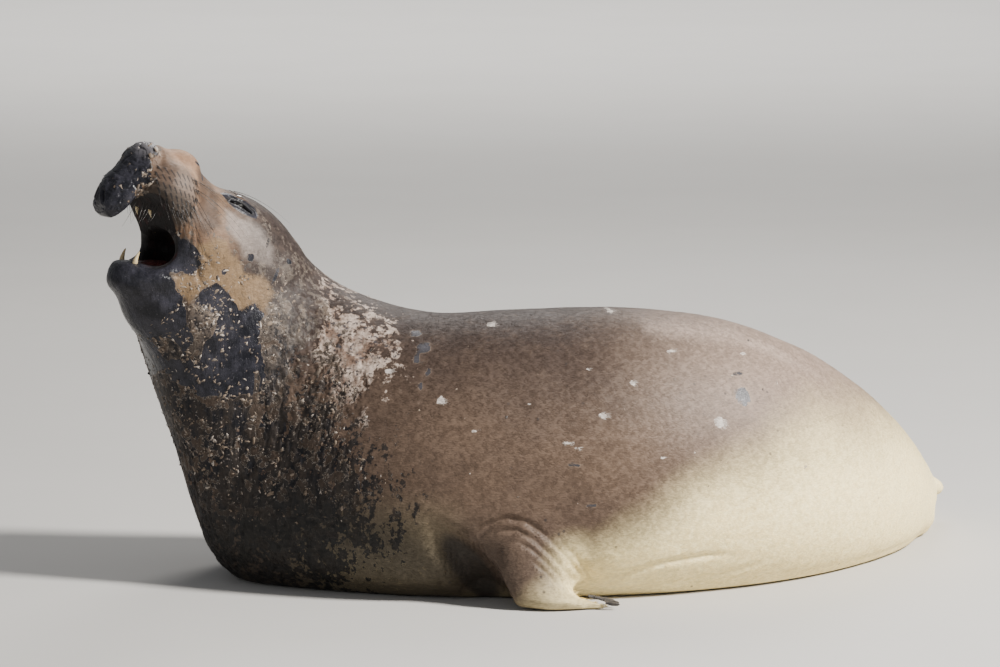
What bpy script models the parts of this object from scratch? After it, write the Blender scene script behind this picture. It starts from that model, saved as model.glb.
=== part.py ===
"""A sub-adult male northern elephant seal at life size, lying on its belly with its head raised and turned,
its mouth wide open, and its hindquarters bent round behind it.

The body is first thought of as straight, in a frame of its own: x runs from the head (-x) to the tail (+x),
z is up and y is across, with the seal's left side at -y. Two bends then lay it out as it rests. The neck
stations are turned about an upright axis, station by station, and the whole spine follows a plan curve.
Metres, +Z up. The origin is in the middle of the box round the seal, on the ground.
"""

import math

import bmesh
import bpy
import numpy as np
from mathutils import Matrix, Vector

# The belly runs this far under the ground before it is cut flat, so that it rests on a broad flat
BELLY = -0.050

# Cross-sections of the trunk, upright: place along the spine, heights of back and belly, half width
TRUNK = (
    (1.46, 0.122, 0.052, 0.048),
    (1.40, 0.182, 0.026, 0.086),
    (1.32, 0.248, 0.000, 0.124),
    (1.20, 0.332, -0.034, 0.174),
    (1.05, 0.430, BELLY, 0.233),
    (0.88, 0.529, BELLY, 0.292),
    (0.70, 0.610, BELLY, 0.343),
    (0.50, 0.668, BELLY, 0.378),
    (0.25, 0.692, BELLY, 0.395),
    (0.00, 0.688, BELLY, 0.393),
)

# Cross-sections of the neck, fanned: back (x, z), throat (x, z), half width, turn in degrees
NECK = (
    (-0.150, 0.677, -0.150, -0.050, 0.385, 0),
    (-0.280, 0.696, -0.380, -0.048, 0.362, 3),
    (-0.375, 0.724, -0.625, -0.025, 0.320, 8),
    (-0.412, 0.740, -0.730, 0.040, 0.298, 12),
    (-0.445, 0.760, -0.792, 0.180, 0.284, 17),
    (-0.487, 0.796, -0.868, 0.410, 0.244, 26),
    (-0.530, 0.854, -0.928, 0.600, 0.206, 36),
    (-0.580, 0.906, -0.950, 0.700, 0.178, 44),
    (-0.650, 0.928, -0.910, 0.785, 0.125, 50),
)
NECK_PIVOT = -0.55
HEAD_TURN = math.radians(50.0)

# The plan curve of the spine: place along it, heading in degrees
PLAN = (
    (-0.50, -20.0),
    (-0.25, -10.0),
    (0.00, 0.0),
    (0.20, 9.0),
    (0.42, 24.0),
    (0.60, 35.0),
    (0.80, 43.0),
    (1.10, 53.0),
    (1.30, 57.0),
    (1.60, 57.0),
)
PLAN_STEP = 0.01

# The head's own frame: x forward, y to the seal's left, z up, from the mid-point between the eyes
EYE_LEVEL = (-0.735, 0.958)
HEAD_PITCH = math.radians(30.0)
EYE_RADIUS = 0.026

# Head forms: place, radii and pitch in degrees. A form off the middle has a twin on the other side.
HEAD_FORMS = (
    ((-0.075, 0.0, -0.088), (0.200, 0.150, 0.132), 0),
    ((-0.165, 0.0, -0.145), (0.180, 0.158, 0.165), 0),
    ((0.080, 0.0, -0.070), (0.170, 0.110, 0.100), 4),
    ((0.142, 0.0, -0.012), (0.076, 0.074, 0.082), 0),
    ((0.165, 0.074, -0.060), (0.084, 0.068, 0.084), -8),
    ((0.090, 0.074, -0.108), (0.105, 0.066, 0.064), 0),
    ((-0.010, 0.090, -0.130), (0.130, 0.068, 0.110), 0),
    ((-0.004, 0.083, -0.014), (0.066, 0.044, 0.042), -4),
)
NOSE_FORMS = (
    ((0.226, 0.0, -0.042), (0.072, 0.088, 0.092), -14),
    ((0.264, 0.0, -0.115), (0.055, 0.074, 0.080), -4),
    ((0.268, 0.030, -0.150), (0.040, 0.040, 0.042), 0),
    ((0.200, 0.0, -0.090), (0.070, 0.080, 0.062), 0),
)
JAW_FORMS = (
    ((0.062, 0.0, -0.266), (0.134, 0.112, 0.056), -22),
    ((0.130, 0.0, -0.274), (0.064, 0.080, 0.046), -22),
    ((0.040, 0.088, -0.222), (0.110, 0.038, 0.044), -30),
    ((0.020, 0.0, -0.305), (0.108, 0.120, 0.084), -35),
    ((0.078, 0.0, -0.312), (0.132, 0.084, 0.045), 31),
    ((-0.030, 0.0, -0.354), (0.160, 0.120, 0.070), 34),
    ((-0.060, 0.0, -0.290), (0.145, 0.156, 0.140), -20),
)

# The gape, as a wedge seen from the side, and the hollow of the mouth behind it
GAPE = (
    (0.096, -0.190),
    (0.114, -0.154),
    (0.154, -0.122),
    (0.202, -0.086),
    (0.230, -0.088),
    (0.243, -0.150),
    (0.262, -0.196),
    (0.360, -0.225),
    (0.340, -0.360),
    (0.198, -0.262),
    (0.124, -0.228),
)
MOUTH_FORMS = (
    ((0.105, 0.0, -0.185), (0.130, 0.078, 0.046), -16),
    ((0.030, 0.0, -0.190), (0.085, 0.060, 0.050), -10),
)
TONGUE_FORM = ((0.075, 0.0, -0.238), (0.105, 0.048, 0.030), -34)

# Thin cuts between the body's parts
CUT = 0.0006
FIT = 0.0005
FLIPPER_FIT = 0.0010
NAIL_FIT = 0.0012
RING_POINTS = 44
STEPS_BETWEEN = 6
UPPER_FULLNESS = 2.0
LOWER_FULLNESS = 2.8
VOXEL = 0.0075
GAPE_HALF_WIDTH = 0.30

# Rounds of smoothing: the head's flesh, its lips once the gape is cut, the joined body, and a flipper
FLESH_ROUNDS = 22
LIP_ROUNDS = 4
BODY_ROUNDS = 6
FLIPPER_ROUNDS = 4
FORE_VOXEL = 0.005
HIND_VOXEL = 0.006


def smooth_through(keys, values, at):
    """A cubic through the given values that never overshoots a level stretch."""
    keys, values = np.asarray(keys, float), np.asarray(values, float)
    step = np.diff(keys)
    slope = np.diff(values) / step
    rate = np.empty(len(keys))
    rate[0], rate[-1] = slope[0], slope[-1]
    for i in range(1, len(keys) - 1):
        before, after = slope[i - 1], slope[i]
        rate[i] = 0.0 if before * after <= 0 else 2 * before * after / (before + after)
    at = np.clip(at, keys[0], keys[-1])
    i = np.clip(np.searchsorted(keys, at, side="right") - 1, 0, len(step) - 1)
    t = (at - keys[i]) / step[i]
    return (
        (1 + 2 * t) * (1 - t) ** 2 * values[i]
        + t * (1 - t) ** 2 * step[i] * rate[i]
        + t * t * (3 - 2 * t) * values[i + 1]
        + t * t * (t - 1) * step[i] * rate[i + 1]
    )


def plan_table():
    """The spine's curve on the ground: places along it, points and headings."""
    first, last = PLAN[0][0], PLAN[-1][0]
    places = np.arange(first, last + PLAN_STEP / 2, PLAN_STEP)
    keys, degrees = zip(*PLAN)
    heading = np.radians(smooth_through(keys, degrees, places))
    points = np.zeros((len(places), 2))
    run = np.stack([np.cos(heading), np.sin(heading)], axis=1)
    points[1:] = np.cumsum((run[1:] + run[:-1]) / 2 * PLAN_STEP, axis=0)
    points -= points[np.argmin(np.abs(places))]
    return places, points, heading


PLACES, SPINE, HEADING = plan_table()


def laid_out(x, y, z, turn=0.0):
    """The place in the world of a point of the straight seal, after the neck's turn and the spine's bend."""
    along = NECK_PIVOT + (x - NECK_PIVOT) * math.cos(turn) - y * math.sin(turn)
    across = (x - NECK_PIVOT) * math.sin(turn) + y * math.cos(turn)
    on_curve = min(max(along, PLACES[0]), PLACES[-1])
    heading = np.interp(on_curve, PLACES, HEADING)
    px = np.interp(on_curve, PLACES, SPINE[:, 0])
    py = np.interp(on_curve, PLACES, SPINE[:, 1])
    ahead = along - on_curve
    return Vector((
        px + ahead * math.cos(heading) - across * math.sin(heading),
        py + ahead * math.sin(heading) + across * math.cos(heading),
        z,
    ))


def head_matrix():
    """From the head's own frame to the world."""
    yaw = HEAD_TURN + HEADING[0]
    level = math.cos(HEAD_PITCH)
    forward = Vector((-math.cos(yaw) * level, -math.sin(yaw) * level, math.sin(HEAD_PITCH)))
    left = Vector((math.sin(yaw), -math.cos(yaw), 0.0))
    matrix = Matrix((forward, left, forward.cross(left))).transposed().to_4x4()
    matrix.translation = laid_out(EYE_LEVEL[0], 0.0, EYE_LEVEL[1], HEAD_TURN)
    return matrix


HEAD = head_matrix()


def new_object(name, mesh, collection):
    """A mesh as an object in the collection."""
    obj = bpy.data.objects.new(name, mesh)
    collection.objects.link(obj)
    return obj


def mesh_from(bm, name):
    """A closed mesh whose faces all point outwards."""
    mesh = bpy.data.meshes.new(name)
    bmesh.ops.recalc_face_normals(bm, faces=bm.faces)
    if bm.calc_volume(signed=True) < 0:
        bmesh.ops.reverse_faces(bm, faces=bm.faces)
    bm.to_mesh(mesh)
    bm.free()
    return mesh


def loft(name, rings, collection):
    """A closed skin over a row of rings that have the same number of points."""
    bm = bmesh.new()
    loops = [[bm.verts.new(point) for point in ring] for ring in rings]
    count = len(loops[0])
    for first, second in zip(loops, loops[1:]):
        for i in range(count):
            j = (i + 1) % count
            bm.faces.new((first[i], first[j], second[j], second[i]))
    for loop in (loops[0], loops[-1]):
        tip = bm.verts.new(sum((v.co for v in loop), Vector()) / count)
        for i in range(count):
            bm.faces.new((loop[i], loop[(i + 1) % count], tip))
    return new_object(name, mesh_from(bm, name), collection)


def ball(name, place, radii, pitch, collection, frame=HEAD):
    """An egg shape in the given frame, tipped nose-up by pitch degrees."""
    bm = bmesh.new()
    bmesh.ops.create_icosphere(bm, subdivisions=4, radius=1.0)
    tip = Matrix.Rotation(-math.radians(pitch), 4, "Y")
    bm.transform(frame @ Matrix.Translation(place) @ tip @ Matrix.Diagonal((*radii, 1.0)))
    return new_object(name, mesh_from(bm, name), collection)


def forms(name, table, collection):
    """Egg shapes from a table, each one off the middle with its twin."""
    made = []
    for number, (place, radii, pitch) in enumerate(table):
        sides = (1, -1) if place[1] else (1,)
        for side in sides:
            at = (place[0], place[1] * side, place[2])
            made.append(ball(f"{name}_{number}_{side}", at, radii, pitch, collection))
    return made


def side_outline(name, outline, half_width, collection, frame=HEAD):
    """A plate with the given side view (x, z), as wide as twice half_width."""
    bm = bmesh.new()
    face = bm.faces.new([bm.verts.new((x, -half_width, z)) for x, z in outline])
    sweep = bmesh.ops.extrude_face_region(bm, geom=[face])
    moved = [v for v in sweep["geom"] if isinstance(v, bmesh.types.BMVert)]
    bmesh.ops.translate(bm, verts=moved, vec=(0.0, 2 * half_width, 0.0))
    bm.transform(frame)
    return new_object(name, mesh_from(bm, name), collection)


def ring_of(back, throat, half_width, turn):
    """One cross-section, rounder above and fuller below, from its back to its throat or belly."""
    back, throat = np.asarray(back), np.asarray(throat)
    middle, half = (back + throat) / 2, (back - throat) / 2
    ring = []
    for i in range(RING_POINTS):
        angle = 2 * math.pi * i / RING_POINTS
        up, out = math.sin(angle), math.cos(angle)
        fullness = UPPER_FULLNESS if up >= 0 else LOWER_FULLNESS
        rise = math.copysign(abs(up) ** (2 / fullness), up)
        reach = math.copysign(abs(out) ** (2 / fullness), out) * (1.0 - 0.07 * rise)
        at = middle + half * rise
        ring.append(laid_out(at[0], half_width * reach, at[1], turn))
    return ring


def body_stations():
    """Closely spaced cross-sections from the rump to the top of the neck."""
    rows = [(place, top, place, bottom, half_width, 0.0) for place, top, bottom, half_width in TRUNK]
    rows = np.array(rows + list(NECK))
    keys = np.arange(len(rows), dtype=float)
    at = np.linspace(0.0, keys[-1], STEPS_BETWEEN * (len(rows) - 1) + 1)
    return np.stack([smooth_through(keys, column, at) for column in rows.T], axis=1)


def trunk_and_neck(collection):
    """The trunk from the rump to the top of the neck, as one loft."""
    rings = [
        ring_of((xb, zb), (xt, zt), half_width, math.radians(turn))
        for xb, zb, xt, zt, half_width, turn in body_stations()
    ]
    return loft("trunk_and_neck", rings, collection)


def apply_modifiers(obj):
    """Makes the object's modifiers part of its mesh."""
    graph = bpy.context.evaluated_depsgraph_get()
    mesh = bpy.data.meshes.new_from_object(obj.evaluated_get(graph))
    obj.modifiers.clear()
    old, obj.data = obj.data, mesh
    bpy.data.meshes.remove(old)


def boolean(obj, other, operation):
    """Joins an object or a collection to a closed form, or cuts it away."""
    modifier = obj.modifiers.new(operation.lower(), "BOOLEAN")
    modifier.operation = operation
    modifier.solver = "EXACT"
    if isinstance(other, bpy.types.Collection):
        modifier.operand_type = "COLLECTION"
        modifier.collection = other
    else:
        modifier.object = other
    apply_modifiers(obj)


def remove_all(objects):
    """Takes helper objects out, with their meshes."""
    for obj in list(objects):
        mesh = obj.data
        bpy.data.objects.remove(obj, do_unlink=True)
        if mesh and mesh.users == 0:
            bpy.data.meshes.remove(mesh)


def united(name, pieces, collection):
    """One object from many closed pieces."""
    first, rest = pieces[0], pieces[1:]
    group = bpy.data.collections.new(name + "_pieces")
    bpy.context.scene.collection.children.link(group)
    for piece in rest:
        group.objects.link(piece)
    boolean(first, group, "UNION")
    for piece in rest:
        remove_all([piece])
    bpy.data.collections.remove(group)
    first.name = name
    return first


def softened(obj, voxel, rounds):
    """The same form with its creases filled and its steps smoothed away."""
    remesh = obj.modifiers.new("even", "REMESH")
    remesh.mode = "VOXEL"
    remesh.voxel_size = voxel
    smooth = obj.modifiers.new("soft", "SMOOTH")
    smooth.factor = 0.5
    smooth.iterations = rounds
    apply_modifiers(obj)


def grown_copy(obj, by, collection):
    """A copy of a closed form that stands a little proud of it all over."""
    copy = obj.copy()
    copy.data = obj.data.copy()
    collection.objects.link(copy)
    push = copy.modifiers.new("grow", "DISPLACE")
    push.mid_level = 0.0
    push.strength = by
    apply_modifiers(copy)
    return copy


def principled(name, colour, roughness):
    """A plain finish for one part."""
    material = bpy.data.materials.new(name)
    material.use_nodes = True
    shader = material.node_tree.nodes["Principled BSDF"]
    shader.inputs["Base Color"].default_value = (*colour, 1.0)
    shader.inputs["Roughness"].default_value = roughness
    shader.inputs["Metallic"].default_value = 0.0
    return material


def head_and_jaw(collection):
    """The skull's flesh with the nose, whisker pads and open jaws, still in one piece with the throat."""
    pieces = forms("skull", HEAD_FORMS, collection)
    pieces += forms("nose", NOSE_FORMS, collection)
    pieces += forms("jaw", JAW_FORMS, collection)
    flesh = united("head_flesh", pieces, collection)
    softened(flesh, VOXEL, FLESH_ROUNDS)
    gape = side_outline("gape", GAPE, GAPE_HALF_WIDTH, collection)
    hollow = united("mouth_hollow", [gape] + forms("hollow", MOUTH_FORMS, collection), collection)
    boolean(flesh, hollow, "DIFFERENCE")
    remove_all([hollow])
    softened(flesh, VOXEL, LIP_ROUNDS)
    return flesh


def across(run, lead):
    """A unit vector square to a run, as near as can be to the given direction."""
    return (lead - run * (lead.dot(run) / run.dot(run))).normalized()


def limb(name, sections, collection, points=20):
    """A loft of flat ovals, each with its place, the way to its leading edge, and its half sizes."""
    rings = []
    for i, (place, lead, half_width, half_thick) in enumerate(sections):
        before = sections[max(i - 1, 0)][0]
        after = sections[min(i + 1, len(sections) - 1)][0]
        run = (after - before).normalized()
        wide = across(run, lead)
        thick = run.cross(wide)
        ring = []
        for k in range(points):
            angle = 2 * math.pi * k / points
            out = wide * half_width * math.cos(angle)
            up = thick * half_thick * math.sin(angle)
            ring.append(place + out + up)
        rings.append(ring)
    return loft(name, rings, collection)


# A finger's rings, how far along it its round tip begins, and how much of the tip stays flat
DIGIT_RINGS = 9
DIGIT_ANGLES = [2 * math.pi * k / 12 for k in range(12)]
TIP_START = 0.8
TIP_FLAT = 0.04


def digit(name, start, end, radius_start, radius_end, collection):
    """A tapered finger with a round tip."""
    rings = []
    run = (end - start).normalized()
    side = run.cross(Vector((0.0, 0.0, 1.0))).normalized()
    up = side.cross(run)
    for i in range(DIGIT_RINGS):
        t = i / (DIGIT_RINGS - 1)
        radius = radius_start + (radius_end - radius_start) * t
        over = max(0.0, (t - TIP_START) / (1.0 - TIP_START))
        radius *= math.sqrt(max(1.0 - over**2, TIP_FLAT))
        centre = start.lerp(end, t)
        rings.append([centre + (side * math.cos(a) + up * math.sin(a)) * radius for a in DIGIT_ANGLES])
    return loft(name, rings, collection)


# The foreflipper as it is pressed to the ground: place, way to the leading edge, half width, half thickness
FOREARM = (
    ((0.034, 0.235, 0.300), (-1.0, 0.0, 0.0), 0.100, 0.072),
    ((0.044, 0.315, 0.212), (-1.0, 0.0, 0.0), 0.112, 0.080),
    ((0.062, 0.362, 0.118), (-1.0, 0.08, 0.0), 0.116, 0.070),
    ((0.086, 0.384, 0.058), (-0.9, 0.3, 0.0), 0.108, 0.050),
    ((0.112, 0.396, 0.031), (-0.5, 1.0, 0.0), 0.082, 0.031),
    ((0.136, 0.400, 0.018), (0.0, 1.0, 0.0), 0.068, 0.019),
    ((0.160, 0.400, 0.011), (0.1, 1.0, 0.0), 0.056, 0.011),
)
FORE_WRIST = (0.030, 0.395, 0.032)
FORE_SPREAD = 0.45
FORE_DIGIT_RADII = (0.019, 0.017, 0.015, 0.013, 0.011)
FORE_TIPS = ((0.208, 0.448), (0.210, 0.424), (0.206, 0.400), (0.198, 0.377), (0.188, 0.356))
FORE_TIP_HEIGHT = 0.009
FORE_TIP_RADIUS = 0.010

# A nail: how far it starts behind its digit's tip, stands out past it and lies above it, and its radii
NAIL_BEHIND = 0.024
NAIL_AHEAD = 0.012
NAIL_LIFT = Vector((0.0, 0.0, 0.006))
NAIL_RADII = (0.0065, 0.004)


def fore_tips(side):
    """The tips of one hand's digits and the roots they spread from."""
    rows = []
    for number, (x, y) in enumerate(FORE_TIPS):
        root_y = FORE_WRIST[1] + (y - FORE_WRIST[1]) * FORE_SPREAD
        root = laid_out(FORE_WRIST[0], side * root_y, FORE_WRIST[2])
        tip = laid_out(x, side * y, FORE_TIP_HEIGHT)
        rows.append((root, tip, FORE_DIGIT_RADII[number]))
    return rows


def foreflipper(name, side, collection):
    """An arm pressed down beside the chest with its hand laid back along the ground."""
    sections = []
    for (x, y, z), (lx, ly, lz), half_width, half_thick in FOREARM:
        place = laid_out(x, side * y, z)
        lead = laid_out(x + lx * 0.01, side * (y + ly * 0.01), z + lz * 0.01) - place
        sections.append((place, lead, half_width, half_thick))
    pieces = [limb(name, sections, collection)]
    for number, (root, tip, radius) in enumerate(fore_tips(side)):
        pieces.append(digit(f"{name}_{number}", root, tip, radius, FORE_TIP_RADIUS, collection))
    flipper = united(name, pieces, collection)
    softened(flipper, FORE_VOXEL, FLIPPER_ROUNDS)
    return flipper


# The hind flippers: which way each points, its root, its length, its stalk (place along it, half width,
# half thickness) and its five digits (share of the length, height of the tip)
HIND_HEADING = {-1: math.radians(94.0), 1: math.radians(100.0)}
HIND_ROOT = (1.345, 0.062)
HIND_LENGTH = 0.42
HIND_SECTIONS = (
    (-0.10, 0.046, 0.040),
    (0.00, 0.046, 0.036),
    (0.12, 0.046, 0.030),
    (0.24, 0.052, 0.022),
    (0.36, 0.058, 0.014),
)
HIND_DIGITS = ((1.00, 0.104), (0.90, 0.082), (0.86, 0.060), (0.90, 0.038), (0.97, 0.015))
HIND_DIGIT_RADII = (0.022, 0.012)
HIND_DIGIT_ROOT = 0.05
HIND_KEEL = 0.002


def hind_flipper(name, side, collection):
    """A hind flipper closed like a fan, standing on its lower edge, turned across behind the rump."""
    heading = HIND_HEADING[side]
    run = Vector((math.cos(heading), math.sin(heading), 0.0))
    root = laid_out(HIND_ROOT[0], side * HIND_ROOT[1], 0.0)
    up = Vector((0.0, 0.0, 1.0))
    sections = []
    for along, half_width, half_thick in HIND_SECTIONS:
        sections.append((root + run * along + up * (half_width - HIND_KEEL), up, half_width, half_thick))
    pieces = [limb(name, sections, collection)]
    for number, (reach, height) in enumerate(HIND_DIGITS):
        start = root + run * HIND_DIGIT_ROOT + up * (0.03 + 0.4 * height)
        end = root + run * HIND_LENGTH * reach + up * height
        pieces.append(digit(f"{name}_{number}", start, end, *HIND_DIGIT_RADII, collection))
    flipper = united(name, pieces, collection)
    softened(flipper, HIND_VOXEL, FLIPPER_ROUNDS)
    return flipper


# The tail: place along the spine, height, half width, half thickness
TAIL = (
    (1.34, 0.128, 0.080, 0.056),
    (1.42, 0.112, 0.058, 0.042),
    (1.48, 0.097, 0.047, 0.036),
    (1.535, 0.084, 0.037, 0.028),
    (1.56, 0.078, 0.018, 0.015),
)


def tail_form(collection):
    """A short flat stub between the hind flippers."""
    sections = []
    for x, z, half_width, half_thick in TAIL:
        place = laid_out(x, 0.0, z)
        sections.append((place, laid_out(x, 0.01, z) - place, half_width, half_thick))
    return limb("tail_form", sections, collection)


def floor_box(collection):
    """The ground, as a block that cuts every part flat where it rests."""
    side, depth = 6.0, 0.5
    bm = bmesh.new()
    bmesh.ops.create_cube(bm, size=1.0)
    bm.transform(Matrix.Translation((0.0, 0.0, -depth / 2)) @ Matrix.Diagonal((side, side, depth, 1.0)))
    return new_object("floor_cut", mesh_from(bm, "floor_cut"), collection)


def slab(name, top, bottom, half_width, collection, place_of):
    """A thin flat plate between two points of the sagittal plane, as wide as twice half_width."""
    upper, lower = place_of(top[0], 0.0, top[1]), place_of(bottom[0], 0.0, bottom[1])
    middle = ((top[0] + bottom[0]) / 2, (top[1] + bottom[1]) / 2)
    side = place_of(middle[0], 1.0, middle[1]) - place_of(middle[0], -1.0, middle[1])
    side = across(upper - lower, side) * half_width
    normal = side.cross(lower - upper).normalized()
    bm = bmesh.new()
    corners = (upper - side, upper + side, lower + side, lower - side)
    face = bm.faces.new([bm.verts.new(corner - normal * CUT / 2) for corner in corners])
    sweep = bmesh.ops.extrude_face_region(bm, geom=[face])
    moved = [v for v in sweep["geom"] if isinstance(v, bmesh.types.BMVert)]
    bmesh.ops.translate(bm, verts=moved, vec=normal * CUT)
    return new_object(name, mesh_from(bm, name), collection)


# The shoulder's swell over the root of each arm: place, radii
SHOULDER = ((0.010, 0.285, 0.225), (0.135, 0.088, 0.175))

# Eyes, lid openings, ear pits and nostrils, in the head's frame
EYE_PLACE = (0.000, 0.094, 0.000)
LID_OPENING = ((0.000, 0.122, 0.000), (0.025, 0.026, 0.0085))
EAR_PIT = ((-0.181, 0.152, -0.068), (0.010, 0.014, 0.007))
NOSTRIL = ((0.318, 0.026, -0.105), (0.022, 0.009, 0.026))
CANINES = {
    "canine_lower": ((0.152, 0.034, -0.252), (0.014, 0.0, 0.042)),
    "canine_upper": ((0.182, 0.036, -0.128), (-0.004, 0.0, -0.046)),
}
CANINE_RADIUS = 0.0085
CANINE_RINGS = (0.0, 0.35, 0.7, 0.92)
CANINE_TAPER = 0.6
CANINE_CURVE = 0.010

# Where the thin cuts run, as two points (x, z) of the sagittal plane; on the head with their half widths
HEAD_CUTS = {
    "proboscis": ((0.190, 0.120), (0.236, -0.215), 0.20),
    "lower_jaw": ((0.122, -0.196), (0.058, -0.460), 0.20),
    "head": ((-0.285, 0.090), (-0.035, -0.470), 0.34),
}
BODY_CUTS = {
    "neck": ((-0.300, 0.860), (-0.500, -0.060)),
    "chest": ((0.330, 0.800), (0.330, -0.060)),
    "abdomen": ((0.860, 0.800), (0.860, -0.060)),
    "rump": ((1.445, 0.400), (1.425, -0.060)),
}
BODY_CUT_WIDTH = 0.46
NECK_RISE = 0.3

BODY_FACES = 7400
FORE_FACES = 720
HIND_FACES = 520
EGG_FACES = 420
TONGUE_FACES = 500

SHARP_ANGLE = math.radians(50)
COLOURS = {
    "head": ((0.35, 0.25, 0.17), 0.75),
    "proboscis": ((0.05, 0.05, 0.06), 0.45),
    "lower_jaw": ((0.04, 0.04, 0.045), 0.50),
    "neck": ((0.20, 0.15, 0.12), 0.80),
    "chest": ((0.26, 0.19, 0.14), 0.80),
    "abdomen": ((0.34, 0.26, 0.19), 0.75),
    "rump": ((0.62, 0.54, 0.40), 0.75),
    "tail": ((0.72, 0.64, 0.48), 0.75),
    "foreflipper": ((0.28, 0.21, 0.15), 0.80),
    "hind_flipper": ((0.50, 0.42, 0.31), 0.80),
    "eye": ((0.01, 0.008, 0.006), 0.10),
    "tongue": ((0.55, 0.22, 0.20), 0.40),
    "canine": ((0.80, 0.70, 0.48), 0.30),
    "nail": ((0.03, 0.028, 0.026), 0.35),
}


def thinned(obj, faces):
    """The same form with about this many triangles, most of them where it curves most."""
    obj.data.calc_loop_triangles()
    decimate = obj.modifiers.new("thin", "DECIMATE")
    decimate.ratio = min(1.0, faces / len(obj.data.loop_triangles))
    apply_modifiers(obj)


def whole_body(collection):
    """Trunk, neck, head, jaws and tail in one skin."""
    pieces = [trunk_and_neck(collection), head_and_jaw(collection), tail_form(collection)]
    (x, y, z), radii = SHOULDER
    for side in (-1, 1):
        frame = Matrix.Translation(laid_out(x, side * y, z))
        pieces.append(ball(f"shoulder_{side}", (0.0, 0.0, 0.0), radii, 0, collection, frame))
    body = united("body", pieces, collection)
    softened(body, VOXEL, BODY_ROUNDS)
    thinned(body, BODY_FACES)
    return body


def cut_details(body, collection):
    """Eye sockets with their lid openings, ear pits and nostrils."""
    socket = (EYE_PLACE, (EYE_RADIUS + FIT,) * 3)
    cutters = []
    for side in (1, -1):
        for place, radii in (socket, LID_OPENING, EAR_PIT, NOSTRIL):
            at = (place[0], side * place[1], place[2])
            cutters.append(ball("cutter", at, radii, 0, collection))
    for cutter in cutters:
        thinned(cutter, EGG_FACES)
        boolean(body, cutter, "DIFFERENCE")
    remove_all(cutters)


def islands(obj):
    """The loose bodies of a mesh, each as its own new mesh."""
    bm = bmesh.new()
    bm.from_mesh(obj.data)
    bm.verts.ensure_lookup_table()
    label = [-1] * len(bm.verts)
    count = 0
    for seed in bm.verts:
        if label[seed.index] >= 0:
            continue
        stack = [seed]
        label[seed.index] = count
        while stack:
            for edge in stack.pop().link_edges:
                for vert in edge.verts:
                    if label[vert.index] < 0:
                        label[vert.index] = count
                        stack.append(vert)
        count += 1
    meshes = []
    for number in range(count):
        part = bm.copy()
        part.verts.ensure_lookup_table()
        drop = [v for v in part.verts if label[v.index] != number]
        bmesh.ops.delete(part, geom=drop, context="VERTS")
        volume = abs(part.calc_volume())
        centre = sum((v.co for v in part.verts), Vector()) / len(part.verts)
        mesh = bpy.data.meshes.new(obj.name)
        part.to_mesh(mesh)
        part.free()
        meshes.append((volume, centre, mesh))
    bm.free()
    meshes.sort(key=lambda row: -row[0])
    return meshes


def split(obj, cutter, name, beyond, collection):
    """Cuts a part off with a thin plate: the new part is the piece beyond it, along the given direction."""
    boolean(obj, cutter, "DIFFERENCE")
    remove_all([cutter])
    rows = islands(obj)[:2]
    rows.sort(key=lambda row: row[1].dot(beyond))
    obj.data = rows[0][2]
    return new_object(name, rows[1][2], collection)


def on_head(x, y, z):
    """The place in the world of a point of the head's own frame."""
    return HEAD @ Vector((x, y, z))


def part_body(body, collection):
    """The named parts of the body, from the nose to the tail."""
    made = {}
    forward = HEAD.to_3x3() @ Vector((1.0, 0.0, 0.0))
    for name, (top, bottom, half_width) in HEAD_CUTS.items():
        plate = slab(name, top, bottom, half_width, collection, on_head)
        made[name] = split(body, plate, name, forward, collection)
    for name, (top, bottom) in BODY_CUTS.items():
        plate = slab(name, top, bottom, BODY_CUT_WIDTH, collection, laid_out)
        heading = np.interp(top[0], PLACES, HEADING)
        ahead = Vector((-math.cos(heading), -math.sin(heading), NECK_RISE if top[0] < 0 else 0.0))
        made[name] = split(body, plate, name, ahead, collection)
    body.name = "tail"
    made["tail"] = body
    return made


def fitted(obj, against):
    """Trims a form where it would run into other forms, and keeps the largest piece."""
    for other in against:
        boolean(obj, other, "DIFFERENCE")
    rows = islands(obj)
    obj.data = rows[0][2]


def tooth(name, root, reach, collection):
    """A canine, curved back towards its tip."""
    rings = []
    for t in CANINE_RINGS:
        radius = CANINE_RADIUS * (1.0 - t) ** CANINE_TAPER
        centre = Vector(root) + Vector(reach) * t + Vector((-CANINE_CURVE * t * t, 0.0, 0.0))
        ring = [centre + Vector((math.cos(a), math.sin(a), 0.0)) * radius for a in DIGIT_ANGLES]
        rings.append([HEAD @ point for point in ring])
    return loft(name, rings, collection)


def mouth_parts(grown, collection):
    """The tongue and the four canines, trimmed where they meet the flesh."""
    place, radii, pitch = TONGUE_FORM
    tongue = ball("tongue", place, radii, pitch, collection)
    thinned(tongue, TONGUE_FACES)
    fitted(tongue, [grown])
    made = {"tongue": tongue}
    for name, (root, reach) in CANINES.items():
        for side, word in ((1, "left"), (-1, "right")):
            at = (root[0], side * root[1], root[2])
            canine = tooth(f"{name}_{word}", at, reach, collection)
            fitted(canine, [grown])
            made[canine.name] = canine
    return made


def nails(word, side, around, floor, collection):
    """Five nails on the ends of one hand's digits."""
    made = {}
    for number, (root, tip, _) in enumerate(fore_tips(side), start=1):
        run = (tip - root).normalized()
        start, end = tip - run * NAIL_BEHIND + NAIL_LIFT, tip + run * NAIL_AHEAD + NAIL_LIFT
        nail = digit(f"nail_{word}_{number}", start, end, *NAIL_RADII, collection)
        boolean(nail, floor, "DIFFERENCE")
        fitted(nail, [around])
        made[nail.name] = nail
    return made


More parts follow.
